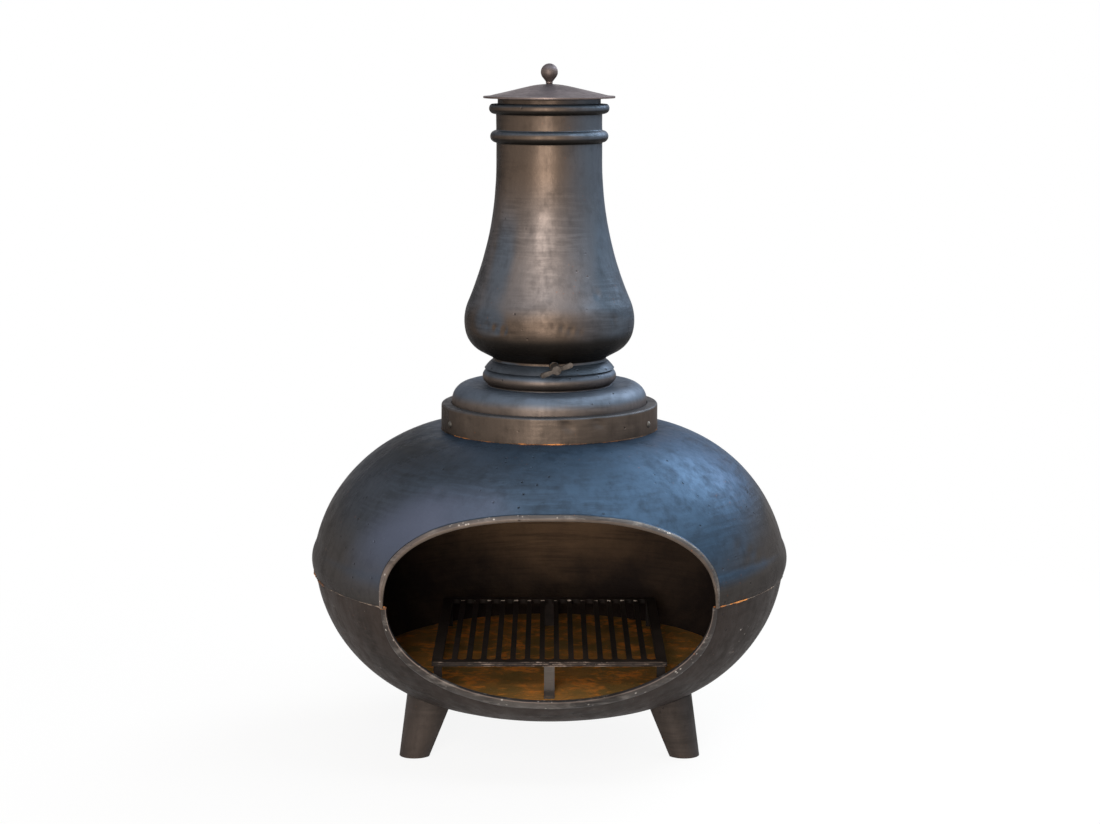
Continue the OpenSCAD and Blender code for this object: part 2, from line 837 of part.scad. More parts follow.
// flat key with flared round ends, on a hub that keeps it clear of the bulb
module damper_key() {
    arm = key_l / 2 - key_end_r;
    hub_z = boss_reach + run_gap;
    color("lightgray") place() on_shaft() difference() {
        union() {
            translate([0, 0, hub_z]) cylinder(h = key_near + key_t + weld - hub_z, r = key_hub_r);
            translate([0, 0, key_near]) linear_extrude(key_t) {
                for (s = [-arm, arm]) {
                    translate([s, 0]) circle(key_end_r);
                    polygon([[0, -key_waist], [s, -key_end_r], [s, key_end_r], [0, key_waist]]);
                }
            }
        }
        translate([0, 0, boss_reach]) cylinder(h = far, r = shaft_r + thread_gap);
    }
}

// spring ring that keeps the shaft from sliding forward
module damper_clip() {
    color("silver") place() on_shaft() translate([0, 0, -boss_reach - run_gap - clip_t]) difference() {
        cylinder(h = clip_t, r = clip_r);
        translate([0, 0, -weld]) cylinder(h = clip_t + 2 * weld, r = shaft_r + thread_gap);
    }
}

// half section of the lid surface, moved in by d
module lid_section(d) {
    turn = lid_cap_r * sin(lid_slope);
    drop = lid_cap_r * (1 - cos(lid_slope));
    foot_z = lid_z + lid_rim_t;
    foot_r = turn + (lid_top_z - drop - foot_z) / tan(lid_slope);
    intersection() {
        translate([0, lid_top_z - lid_cap_r]) circle(lid_cap_r - d);
        translate([0, lid_z]) square([turn * (1 - d / lid_cap_r), far]);
    }
    polygon([
        [0, lid_z],
        [foot_r - d * 2, lid_z],
        [foot_r - d * sin(lid_slope), foot_z - d * cos(lid_slope)],
        [turn * (1 - d / lid_cap_r), lid_top_z - drop - d * cos(lid_slope)],
        [0, lid_top_z - drop - d * cos(lid_slope)]
    ]);
}

module lid() {
    ring_in_r = lid_ring_r - lid_wall;
    color("dimgray") place() difference() {
        rotate_extrude() {
            difference() {
                union() {
                    lid_section(0);
                    translate([0, lid_z]) square([lid_r, lid_rim_t]);
                }
                lid_section(lid_wall);
            }
            translate([ring_in_r, lid_z - lid_ring_drop])
                square([lid_wall, lid_ring_drop + lid_rim_t + lid_wall]);
            translate([ring_in_r, lid_z]) square([lid_seat_r - ring_in_r, lid_rim_t]);
        }
        translate([0, 0, lid_z]) cylinder(h = far, r = stud_d / 2 + bolt_gap);
    }
}

// pear-shaped knob on a flared foot, cast round its stud
module knob() {
    color("dimgray") place() rotate_extrude() intersection() {
        union() {
            translate([0, knob_z]) circle(knob_r);
            polygon([
                [0, lid_top_z],
                [knob_foot_r, lid_top_z],
                [knob_foot_r + 1, lid_top_z + 2],
                [knob_foot_r + 0.4, lid_top_z + 3.5],
                [knob_r * sin(knob_cone), knob_z - knob_r * cos(knob_cone)],
                [0, knob_z]
            ]);
            translate([0, lid_top_z - stud_drop]) square([stud_d / 2, stud_drop + weld]);
        }
        square([far, 2 * far]);
    }
}

module knob_nut() {
    // clear of the round underside of the lid at its corners
    color("silver") place() translate([0, 0, lid_top_z - lid_wall - run_gap - stud_nut_h]) difference() {
        hex(stud_nut_af, stud_nut_h);
        translate([0, 0, -weld]) cylinder(h = stud_nut_h + 2 * weld, r = stud_d / 2 + thread_gap);
    }
}

lower_bowl();
upper_body();
seam_bolts();
seam_nuts();
leg_left();
leg_right();
leg_rear();
leg_bolts();
leg_washers();
hearth_plate();
grate_rails();
grate_bars();
grate_corner_legs();
grate_strap_front();
grate_strap_rear();
clamp_band();
band_screws();
neck_collar();
stack();
damper_plate();
damper_screws();
damper_shaft();
damper_key();
damper_clip();
lid();
knob();
knob_nut();
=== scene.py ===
import math
import bpy
import numpy as np
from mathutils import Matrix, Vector, noise


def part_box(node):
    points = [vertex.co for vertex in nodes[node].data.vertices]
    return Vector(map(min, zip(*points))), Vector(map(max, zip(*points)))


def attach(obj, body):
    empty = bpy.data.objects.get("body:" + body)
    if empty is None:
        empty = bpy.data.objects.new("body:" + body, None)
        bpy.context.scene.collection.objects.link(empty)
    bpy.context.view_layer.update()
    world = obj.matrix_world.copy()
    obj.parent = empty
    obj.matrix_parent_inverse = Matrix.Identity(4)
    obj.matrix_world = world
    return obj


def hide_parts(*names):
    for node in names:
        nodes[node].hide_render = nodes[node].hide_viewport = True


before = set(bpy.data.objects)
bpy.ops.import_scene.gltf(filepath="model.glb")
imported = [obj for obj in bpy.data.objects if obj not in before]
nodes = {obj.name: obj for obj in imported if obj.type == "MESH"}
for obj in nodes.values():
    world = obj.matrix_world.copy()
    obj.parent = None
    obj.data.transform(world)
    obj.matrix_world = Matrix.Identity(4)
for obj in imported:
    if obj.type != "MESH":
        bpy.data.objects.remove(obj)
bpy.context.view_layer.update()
scene = bpy.context.scene
s_lo, s_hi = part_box("stack")
AXIS_Y = (s_lo.y + s_hi.y) / 2        # the flue axis, in metres
MM = 0.001                            # shapes below are in mm about the flue axis


# ---------------------------------------------------------------- materials
class Mat:
    """A node material built with short calls. Uniform values go straight to the shader's sockets. A value may be a
    number, a colour or the output of another node. Object space has x to the right, y to the back and z up."""

    def __init__(self, name, **uniform):
        self.m = bpy.data.materials.new(name)
        self.m.use_nodes = True
        self.t = self.m.node_tree
        self.t.nodes.clear()
        out = self.node("ShaderNodeOutputMaterial")
        self.bsdf = self.node("ShaderNodeBsdfPrincipled")
        self.t.links.new(self.bsdf.outputs[0], out.inputs[0])
        at = self.node("ShaderNodeTexCoord")
        self.xyz, self.nrm = at.outputs["Object"], at.outputs["Normal"]
        for k, v in uniform.items():
            self.bsdf.inputs[k.replace("_", " ")].default_value = v

    def node(self, kind, **props):
        n = self.t.nodes.new(kind)
        for k, v in props.items():
            setattr(n, k, v)
        return n

    def put(self, socket, value):
        if isinstance(value, bpy.types.NodeSocket):
            self.t.links.new(value, socket)
        elif isinstance(value, (tuple, list)) and len(value) == 3 and socket.type == "RGBA":
            socket.default_value = (*value, 1)
        else:
            socket.default_value = value

    def scaled(self, x, y, z):
        """The place on the object, stretched along each axis"""
        n = self.node("ShaderNodeVectorMath", operation="MULTIPLY")
        self.put(n.inputs[0], self.xyz)
        n.inputs[1].default_value = (x, y, z)
        return n.outputs[0]

    def shifted(self, vec, other, amount):
        """vec pushed about by a noise"""
        n = self.node("ShaderNodeVectorMath", operation="SCALE")
        self.put(n.inputs[0], other)
        n.inputs[3].default_value = amount
        s = self.node("ShaderNodeVectorMath", operation="ADD")
        self.put(s.inputs[0], vec)
        self.put(s.inputs[1], n.outputs[0])
        return s.outputs[0]

    def noise(self, scale, detail=4.0, rough=0.55, vec=None, out="Fac"):
        n = self.node("ShaderNodeTexNoise")
        self.put(n.inputs["Vector"], vec or self.xyz)
        n.inputs["Scale"].default_value = scale
        n.inputs["Detail"].default_value = detail
        n.inputs["Roughness"].default_value = rough
        return n.outputs[out]

    def cells(self, scale, vec=None):
        """Distance to the nearest of many scattered points"""
        n = self.node("ShaderNodeTexVoronoi")
        self.put(n.inputs["Vector"], vec or self.xyz)
        n.inputs["Scale"].default_value = scale
        return n.outputs["Distance"]

    def span(self, fac, a, b, to0=0.0, to1=1.0):
        """fac from a to b as to0 to to1, held at the ends"""
        n = self.node("ShaderNodeMapRange", interpolation_type="SMOOTHSTEP")
        self.put(n.inputs[0], fac)
        for i, v in enumerate((a, b, to0, to1)):
            self.put(n.inputs[i + 1], v)
        return n.outputs[0]

    def mix(self, fac, a, b):
        """Colour a where fac is 0 and b where it is 1"""
        n = self.node("ShaderNodeMix", data_type="RGBA")
        self.put(n.inputs[0], fac)
        self.put(n.inputs[6], a)
        self.put(n.inputs[7], b)
        return n.outputs[2]

    def calc(self, op, a, b, clamp=False):
        n = self.node("ShaderNodeMath", operation=op, use_clamp=clamp)
        self.put(n.inputs[0], a)
        self.put(n.inputs[1], b)
        return n.outputs[0]

    def plus(self, a, b, clamp=False):
        return self.calc("ADD", a, b, clamp)

    def less(self, a, b):
        return self.calc("SUBTRACT", a, b)

    def times(self, a, b):
        return self.calc("MULTIPLY", a, b)

    def parts(self, vec):
        n = self.node("ShaderNodeSeparateXYZ")
        self.put(n.inputs[0], vec)
        return n.outputs[:]

    def bump(self, height, distance, strength, normal=None):
        n = self.node("ShaderNodeBump")
        n.inputs["Strength"].default_value = strength
        n.inputs["Distance"].default_value = distance
        self.put(n.inputs["Height"], height)
        if normal:
            self.put(n.inputs["Normal"], normal)
        return n.outputs[0]

    def finish(self, color, rough, normal):
        self.put(self.bsdf.inputs["Base Color"], color)
        self.put(self.bsdf.inputs["Roughness"], rough)
        self.put(self.bsdf.inputs["Normal"], normal)
        return self.m


# heights in metres at which parts of the paint, and of the light and shade painted into it, change
FLANK_BLUE = (0.91, 0.79)                              # painted blue reflection on the left flank of the stack sets in, downwards
SHOULDER_SHADE = (0.445, 0.50)                          # painted shade on the left shoulder of the shell, under the band, sets in
SHEEN_FOOT, SHEEN_TOP = (0.28, 0.41), (0.49, 0.44)     # lower and upper edge of a painted highlight, a pale sheen low on the left front of the shell


def painted(name, brown, blue, facing, rough, black=(0.010, 0.009, 0.008), metal=0.75, edge=(0.3, 0.28, 0.28),
            streak=0.3, pits=1.0, rusty=0.3, spec=0.5, chips=0.0, under_shade=0.0, turn=(0.15, 0.72), highlight_band=None,
            shoulder_shade=0.0, pale=None):
    """Brushed heat-resistant paint over cast iron: brown where it stands upright, with a painted blue-black sky
    reflection where it faces up, and faint brush lines, clouds, pits and specks of rust.

    facing  how much of the painted blue reflection is left on the left side, how far an upright surface that faces
        right turns blue, and how much facing front counts as facing up: below 0 it counts against it, and the left
        flank is blue
    edge    colour of the gloss
    streak, pits, rusty, chips   strength of brush lines, pits and rust specks, and share of bright specks of wear
    sooted  how dark undersides are, and in part the left rim, as painted shade
    turn    how far up a surface faces where its painted blue reflection begins and where it is full
    worn    two heights and the paler brown between them, a painted highlight
    gloom   how much darker the left shoulder is under the band, as painted shade
    pale    colour of a painted highlight, a pale sheen low on the left of the front"""
    m = Mat(name, Metallic=metal, Specular_IOR_Level=spec, Specular_Tint=(*edge, 1))
    nx, ny, nz = m.parts(m.nrm)
    height = m.parts(m.xyz)[2]
    left_blue, right_blue, front = facing

    # brown paint, and a painted blue sky reflection where it faces up or right, and on the stack's left flank
    cloud = m.noise(6, 4, 0.55)
    across = m.plus(nx, m.times(cloud, 0.3))
    up = m.plus(nz, m.times(cloud, 0.2))
    if front:
        up = m.less(up, m.times(ny, front))
    if front > 0:
        up = m.less(up, m.times(m.times(nx, nx), front * 0.6))
    elif front < 0:
        flank = m.span(m.times(nx, ny), 0.38, 0.50)
        up = m.plus(up, m.times(flank, m.span(height, *FLANK_BLUE, 0.0, 0.6)))
    # painted highlight: paler brown between two heights
    if highlight_band:
        low, high, paler = highlight_band
        at = m.plus(height, m.times(cloud, 0.04))
        brown = m.mix(m.times(m.span(at, low, low + 0.04), m.span(at, high, high - 0.12)), brown, paler)
    up = m.times(m.span(up, *turn), m.span(across, -0.75, 0.45, left_blue, 1.0))
    base = m.mix(m.plus(up, m.span(across, 0.25, 1.0, 0.0, right_blue), True), brown, blue)

    # brush lines round the axis, runs down it, and clouds
    lines = m.noise(1.0, 4, 0.62, m.shifted(m.scaled(9, 9, 210), m.noise(9, 2, out="Color"), 3.0))
    patchy = m.span(m.noise(8, 3), 0.42, 0.62)
    down = m.noise(1.0, 3, 0.6, m.shifted(m.scaled(95, 95, 7), m.noise(12, 3, out="Color"), 1.5))
    mottle = m.noise(34, 5, 0.62)
    base = m.mix(m.times(m.span(lines, 0.36, 0.62, 0.0, streak), patchy), base, black)
    base = m.mix(m.span(down, 0.46, 0.7, 0.0, 0.10), base, black)
    base = m.mix(m.span(mottle, 0.47, 0.72, 0.0, 0.26), base, black)
    base = m.mix(m.span(m.noise(3.2, 4, 0.6), 0.42, 0.66, 0.0, 0.18), base, black)

    # specks of rust and pits
    spots = m.cells(95, m.shifted(m.xyz, m.noise(60, 2, out="Color"), 0.012))
    rust = m.times(m.span(spots, 0.15, 0.08), m.span(m.noise(13, 3), 0.54, 0.66))
    base = m.mix(m.times(rust, rusty), base, (0.20, 0.075, 0.03))
    hole = m.times(m.span(m.cells(64), 0.16, 0.03), m.span(m.noise(9, 2), 0.52, 0.6))
    base = m.mix(m.times(hole, 0.75), base, (0.006, 0.005, 0.005))

    # painted shade: the left shoulder darker under the band
    if shoulder_shade:
        side = m.times(m.span(across, 0.2, -0.25), m.span(across, -0.85, -0.55))
        base = m.mix(m.times(side, m.span(height, *SHOULDER_SHADE, 0.0, shoulder_shade)), base, black)
    # painted highlight: a pale sheen low on the left front
    if pale:
        patch = m.times(m.span(across, 0.05, -0.25), m.span(ny, -0.48, -0.66))
        patch = m.times(patch, m.span(height, *SHEEN_FOOT))
        base = m.mix(m.times(patch, m.span(height, *SHEEN_TOP, 0.0, 0.85)), base, pale)
    if chips:
        smear = m.noise(1.0, 5, 0.65, m.scaled(24, 24, 60))
        base = m.mix(m.span(smear, 0.66 - chips, 0.80 - chips, 0.0, 0.4), base, (0.22, 0.195, 0.175))
        where = m.span(m.noise(24, 4, 0.6), 0.66 - chips, 0.72 - chips)
        base = m.mix(m.times(m.span(m.cells(130), 0.26, 0.14), where), base, (0.33, 0.30, 0.27))
    # painted shade: darker undersides and, less, a darker left rim
    if under_shade:
        base = m.mix(m.span(nz, -0.02, -0.42, 0.0, under_shade), base, black)
        base = m.mix(m.span(nx, -0.70, -0.98, 0.0, under_shade * 0.6), base, black)

    n = m.bump(m.noise(480, 3, 0.6), 0.0004, 0.3)
    n = m.bump(m.times(lines, patchy), 0.0006 * streak, 0.6, n)
    n = m.bump(down, 0.0003, 0.15, n)
    n = m.bump(mottle, 0.0018, 0.35, n)
    n = m.bump(m.noise(15, 3, 0.5), 0.004, 0.3, n)
    n = m.bump(hole, -0.0015 * pits, 0.9, n)
    matt = m.plus(m.span(down, 0.3, 0.7, rough - 0.04, rough + 0.05), m.span(mottle, 0.35, 0.7, -0.05, 0.08), True)
    return m.finish(base, matt, n)


def sooty(name, color, light, rough=0.9, spec=0.18, cracks=1.0, burnt=None):
    """Soot and old burnt paint. burnt is a browner colour for the upper part of the wall"""
    m = Mat(name, Specular_IOR_Level=spec)
    clouds = m.noise(9, 5, 0.6)
    lines = m.noise(1.0, 4, 0.6, m.scaled(10, 10, 190))
    base = m.mix(m.span(clouds, 0.38, 0.68), color, light)
    if burnt:
        x, _, z = m.parts(m.xyz)
        high = m.less(m.plus(z, m.times(m.noise(14, 5, 0.65), 0.10)), m.times(m.times(x, x), 1.5))
        base = m.mix(m.span(high, 0.21, 0.34, 0.0, 0.85), base, burnt)
    base = m.mix(m.span(lines, 0.45, 0.75, 0, 0.5), base, color)
    n = m.bump(m.noise(260, 4, 0.65), 0.0012, 0.5)
    n = m.bump(m.noise(45, 5, 0.6), 0.004 * cracks, 0.5, n)
    n = m.bump(lines, 0.0016, 0.4, n)
    return m.finish(base, m.span(clouds, 0.3, 0.7, rough - 0.08, rough), n)


def rusted(name, pale=(0.60, 0.205, 0.035), deep=(0.33, 0.145, 0.033), dark=(0.165, 0.098, 0.026)):
    """Thick blotchy rust: pale flakes on a darker bed"""
    m = Mat(name, Specular_IOR_Level=0.15)
    flow = m.shifted(m.scaled(0.85, 1, 1), m.noise(16, 3, out="Color"), 0.03)
    big = m.noise(34, 6, 0.68, flow)
    small = m.noise(70, 5, 0.7, flow)
    base = m.mix(m.span(m.noise(9, 4, 0.6, flow), 0.40, 0.62), dark, deep)
    base = m.mix(m.span(m.noise(4.5, 3, 0.5), 0.52, 0.64, 0.0, 0.6), base, dark)
    base = m.mix(m.span(small, 0.44, 0.68, 0, 0.55), base, dark)
    flakes = m.calc("MAXIMUM", m.span(big, 0.50, 0.64, 0.0, 0.8), m.span(m.noise(14, 5, 0.66, flow), 0.52, 0.62))
    base = m.mix(m.times(flakes, m.span(small, 0.36, 0.54)), base, pale)
    specks = m.times(m.span(m.cells(170), 0.13, 0.07), m.span(m.noise(20, 3), 0.52, 0.62))
    base = m.mix(specks, base, (0.42, 0.34, 0.26))
    n = m.bump(m.noise(300, 4, 0.7), 0.001, 0.6)
    n = m.bump(small, 0.004, 0.6, n)
    n = m.bump(big, 0.006, 0.4, n)
    return m.finish(base, m.span(small, 0.3, 0.7, 0.78, 0.95), n)


# the blue in every paint below is a painted sky reflection
# the paler band of the stack, over its bulb and flare, is a painted highlight
STACK = painted("paint_stack", (0.084, 0.060, 0.045), (0.066, 0.088, 0.116), (0.75, 0.85, -0.42), 0.47,
                under_shade=0.9, turn=(-0.08, 0.55), highlight_band=(0.715, 0.96, (0.142, 0.120, 0.112)))
COLLAR = painted("paint_collar", (0.108, 0.086, 0.074), (0.078, 0.100, 0.132), (0.9, 0.35, 0), 0.54, under_shade=0.3)
BAND = painted("paint_band", (0.080, 0.060, 0.047), (0.060, 0.064, 0.072), (0.5, 0.15, 0), 0.50,
               pits=1.4, under_shade=0.7)
SHELL = painted("paint_shell", (0.054, 0.049, 0.046), (0.031, 0.058, 0.095), (0.30, 0, 0.50), 0.48,
                turn=(0.33, 0.80), shoulder_shade=0.5, pale=(0.078, 0.090, 0.130))
BOWL = painted("paint_bowl", (0.033, 0.024, 0.020), (0.027, 0.024, 0.024), (0.6, 0.3, 0), 0.62,
               metal=0.3, spec=0.3, streak=0.5, pits=1.5, chips=0.03)
LEG = painted("paint_leg", (0.048, 0.038, 0.033), (0.036, 0.036, 0.040), (0.6, 0.3, 0), 0.58,
              metal=0.35, spec=0.3, pits=1.3)
LID = painted("paint_lid", (0.150, 0.115, 0.104), (0.120, 0.108, 0.118), (0.7, 0.4, 0), 0.46)
# the crests of both lips are paler: worn paint, and a painted highlight along the bead
CREST = painted("worn_and_highlit_lip", (0.128, 0.098, 0.085), (0.056, 0.053, 0.053), (0.3, 0.85, 0), 0.5,
                black=(0.012, 0.009, 0.008), metal=0.3, edge=(0.6, 0.55, 0.5), streak=0.7, pits=1.4, rusty=1.0,
                chips=0.13)
LIP = painted("lip_edge", (0.090, 0.070, 0.057), (0.052, 0.048, 0.048), (0.7, 0.3, 0), 0.55,
              metal=0.3, spec=0.3, pits=1.4, rusty=0.7)
# the lower lip is paler towards its bottom, a painted highlight; its bright specks are wear
RIM = painted("worn_and_highlit_rim", (0.044, 0.036, 0.032), (0.036, 0.034, 0.036), (0.7, 0.3, 0), 0.55,
              black=(0.016, 0.013, 0.012), metal=0.4, edge=(0.5, 0.5, 0.5), streak=0.9, pits=1.6, rusty=0.4,
              spec=0.3, chips=0.16, highlight_band=(-0.1, 0.225, (0.100, 0.088, 0.080)))
SOOT = sooty("soot_wall", (0.010, 0.006, 0.005), (0.032, 0.020, 0.013), burnt=(0.125, 0.075, 0.042))
GRATE = sooty("grate_iron", (0.007, 0.005, 0.004), (0.024, 0.017, 0.014), rough=0.72, spec=0.16, cracks=0.5)
STRAP = sooty("strap_iron", (0.030, 0.024, 0.021), (0.062, 0.050, 0.043), rough=0.62, spec=0.4, cracks=0.5)
RUST = rusted("hearth_rust")
SEAM_RUST = rusted("seam_rust", (0.52, 0.20, 0.06), (0.15, 0.06, 0.025), (0.05, 0.035, 0.026))
CORNER_RUST = rusted("corner_rust", (0.60, 0.24, 0.07), (0.30, 0.11, 0.04), (0.10, 0.05, 0.03))
SEAM_LINE = rusted("seam_line", (0.30, 0.23, 0.18), (0.150, 0.112, 0.092), (0.050, 0.040, 0.036))
# pale flecks that paint the highlight on the bars' rear ends
GLINT = rusted("painted_glint", (0.55, 0.48, 0.42), (0.36, 0.30, 0.26), (0.14, 0.11, 0.095))
ASH = rusted("ash_edge", (0.30, 0.23, 0.19), (0.10, 0.075, 0.062), (0.022, 0.017, 0.014))


def steel(name, color, rough):
    """Bare metal, darker where wear has left it rough"""
    m = Mat(name, Metallic=1.0)
    wear = m.noise(60, 4, 0.6)
    base = m.mix(m.span(wear, 0.35, 0.7), color, tuple(c * 0.35 for c in color))
    n = m.bump(m.noise(500, 3), 0.0003, 0.5)
    n = m.bump(wear, 0.0008, 0.4, n)
    return m.finish(base, m.span(wear, 0.3, 0.7, rough, rough + 0.25), n)


STEEL = steel("dull_steel", (0.30, 0.27, 0.24), 0.42)
KEY = steel("key_iron", (0.080, 0.068, 0.060), 0.55)
SCREW = steel("band_screw", (0.090, 0.082, 0.074), 0.6)


# ---------------------------------------------------------------- mesh helpers
def mesh_of(name, verts, faces):
    """A mesh from points in mm about the flue axis"""
    v = np.asarray(verts, float) * MM
    v[:, 1] += AXIS_Y
    me = bpy.data.meshes.new(name)
    me.from_pydata(v.tolist(), [], faces)
    return me


def put_in_scene(name, data):
    ob = bpy.data.objects.new(name, data)
    scene.collection.objects.link(ob)
    return ob


def add(name, verts, faces, body, mat, replaces=(), slot="painted_iron", sharp=32):
    """A new piece that rides on a body and stands for the nodes it replaces"""
    me = mesh_of(name, verts, faces)
    me.validate()
    ob = put_in_scene(name, me)
    me.materials.append(mat)
    soft_edges(me, sharp)
    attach(ob, body)
    if replaces:
        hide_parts(*replaces)
    return ob


def soft_edges(me, sharp=32):
    me.shade_smooth()
    me.set_sharp_from_angle(angle=math.radians(sharp))


def arc(c, r, a, b, step):
    """Points on a circle about c from a to b degrees, at most step apart"""
    n = max(3, math.ceil(abs(b - a) * math.pi / 180 * r / step))
    return [(c[0] + r * math.cos(math.radians(a + (b - a) * i / n)),
             c[1] + r * math.sin(math.radians(a + (b - a) * i / n))) for i in range(n + 1)]


KEEP_TURN = 5.0        # degrees of turn after which a softened outline gets a point


def soften(points, sigma, fine=0.5, step=4.0):
    """Rounds the corners of an open outline a little, as casting and paint do. The points are spread fine apart,
    blurred over sigma, and thinned again to one for each step along the line or each KEEP_TURN of its direction"""
    p = np.array(points, float)
    d = np.r_[0, np.cumsum(np.hypot(*np.diff(p, axis=0).T))]
    n = max(8, int(d[-1] / fine))
    s = np.linspace(0, d[-1], n + 1)
    q = np.c_[np.interp(s, d, p[:, 0]), np.interp(s, d, p[:, 1])]
    k = int(3 * sigma / fine)
    w = np.exp(-0.5 * (np.arange(-k, k + 1) * fine / sigma) ** 2)
    w /= w.sum()
    ext = np.r_[2 * q[0] - q[k:0:-1], q, 2 * q[-1] - q[-2:-k - 2:-1]]
    q = np.c_[np.convolve(ext[:, 0], w, "valid"), np.convolve(ext[:, 1], w, "valid")]
    out, turned, gone = [q[0]], 0.0, 0.0
    for i in range(1, n):
        a, b = q[i] - q[i - 1], q[i + 1] - q[i]
        turned += abs(math.degrees(math.atan2(a[0] * b[1] - a[1] * b[0], a @ b)))
        gone += math.hypot(*a)
        if turned > KEEP_TURN or gone > step:
            out.append(q[i])
            turned = gone = 0.0
    return [tuple(x) for x in out] + [tuple(q[-1])]


def revolve(profile, segs):
    """Solid of revolution of a closed outline, or of one whose two ends lie on the axis"""
    verts, rings, faces = [], [], []
    for r, z in profile:
        if r < 1e-6:
            rings.append([len(verts)])
            verts.append((0, 0, z))
        else:
            rings.append(list(range(len(verts), len(verts) + segs)))
            for i in range(segs):
                a = 2 * math.pi * i / segs
                verts.append((r * math.sin(a), -r * math.cos(a), z))
    pairs = list(zip(rings, rings[1:]))
    if len(rings[0]) > 1:
        pairs.append((rings[-1], rings[0]))
    for p, q in pairs:
        for i in range(segs):
            j = (i + 1) % segs
            if len(p) == 1 and len(q) == 1:
                continue
            if len(p) == 1:
                faces.append((p[0], q[j], q[i]))
            elif len(q) == 1:
                faces.append((p[i], p[j], q[0]))
            else:
                faces.append((p[i], p[j], q[j], q[i]))
    return verts, faces


def get_co(me):
    co = np.zeros(len(me.vertices) * 3)
    me.vertices.foreach_get("co", co)
    return co.reshape(-1, 3)


def set_co(me, co):
    me.vertices.foreach_set("co", co.ravel())
    me.update()


def uneven(ob, amount, size, seed):
    """Sinks the surface by up to amount mm in soft dents of about size mm, never proud of the drawn shape"""
    me = ob.data
    co, no = get_co(me), np.zeros(len(me.vertices) * 3)
    me.vertex_normals.foreach_get("vector", no)
    off = Vector((seed * 7.3, seed * 3.1, seed * 5.7))
    h = np.array([noise.fractal(Vector(c) * (1000.0 / size) + off, 1.0, 2.0, 3) for c in co])
    h = np.clip(0.5 + 0.6 * h, 0, 1)
    set_co(me, co - no.reshape(-1, 3) * (h * amount * MM)[:, None])


def dent(ob, spots):
    """Knocks in the surface: azimuth from the front, height, radius and depth of each, in degrees and mm"""
    co = get_co(ob.data) * 1000
    x, y, z = co[:, 0], co[:, 1] - AXIS_Y * 1000, co[:, 2]
    r = np.hypot(x, y)
    az = np.degrees(np.arctan2(x, -y))
    for a, h, size, deep in spots:
        d = np.hypot((az - a) * math.pi / 180 * r, z - h) / size
        push = deep * np.exp(-d ** 2)
        co[:, 0] -= push * x / np.maximum(r, 1)
        co[:, 1] -= push * y / np.maximum(r, 1)
    set_co(ob.data, co / 1000)


def cut(ob, cutter):
    """Takes one mesh away from another"""
    tool = put_in_scene("cutter", mesh_of("cutter", *cutter))
    mod = ob.modifiers.new("cut", "BOOLEAN")
    mod.object, mod.operation, mod.solver = tool, "DIFFERENCE", "EXACT"
    done = bpy.data.meshes.new_from_object(ob.evaluated_get(bpy.context.evaluated_depsgraph_get()))
    ob.modifiers.clear()
    ob.data = done
    bpy.data.objects.remove(tool)
    soft_edges(ob.data)


def tube(name, rows, body, mat, slot="painted_iron", inside_out=False):
    """Closed skin over rows of points, with flat ends"""
    k, n = len(rows[0]), len(rows) - 1
    faces = [(i * k + j, i * k + (j + 1) % k, (i + 1) * k + (j + 1) % k, (i + 1) * k + j)
             for i in range(n) for j in range(k)]
    faces += [tuple(range(k))[::-1], tuple(range(n * k, n * k + k))]
    if inside_out:
        faces = [f[::-1] for f in faces]
    return add(name, [v for row in rows for v in row], faces, body, mat, slot=slot, sharp=60)


# ---------------------------------------------------------------- sizes of the castings, as in the part's source
SEAM = 282.0                                      # height of the joint of the two shells
WALL = 6.0
BOWL_C, BOWL_R = (139.5, 314.0), 245.5            # side of the bowl
BASE_R = 760.0                                    # its flat underside, a circle that runs into the side
BASE_Z = BOWL_C[1] + (BASE_R - BOWL_R) * math.cos(math.asin(BOWL_C[0] / (BASE_R - BOWL_R)))
BLEND = math.degrees(math.asin(BOWL_C[0] / (BASE_R - BOWL_R)))
BODY_C, BODY_R = (139.0, 271.6), 250.5            # side of the upper shell
BEAD_C, BEAD_R = (336.5, 304.5), 53.0             # the rolled bead above the joint
TOP_C, TOP_R = (180.35, 389.03), 126.0            # its shoulder, up to the seat of the collar
TOP_FROM = 70.6                                   # degrees at which the side runs into the shoulder
TOP_Z = 515.03
SEAT_Z = 545.03                                   # top of the ring on which the collar stands
LEAN = math.radians(19.5)                         # of the legs


def bowl_r(z, d=0.0):
    """Radius of the bowl at height z, d in from its surface"""
    return BOWL_C[0] + math.sqrt(max((BOWL_R - d) ** 2 - (BOWL_C[1] - z) ** 2, 0))


def body_r(z, d=0.0):
    side = BODY_C[0] + math.sqrt(max((BODY_R - d) ** 2 - (z - BODY_C[1]) ** 2, 0))
    if abs(z - BEAD_C[1]) < BEAD_R - d:
        bead = BEAD_C[0] + math.sqrt((BEAD_R - d) ** 2 - (z - BEAD_C[1]) ** 2)
        if bead > side:
            return bead
    return side


def bowl_line(d, step):
    """Outline of the bowl from the axis up to the joint"""
    a = -90 + BLEND
    base = arc((0, BASE_Z), BASE_R - d, -90, a, step * 2)
    side = arc(BOWL_C, BOWL_R - d, a, -math.degrees(math.asin((BOWL_C[1] - SEAM) / (BOWL_R - d))), step)
    return base + side[1:]


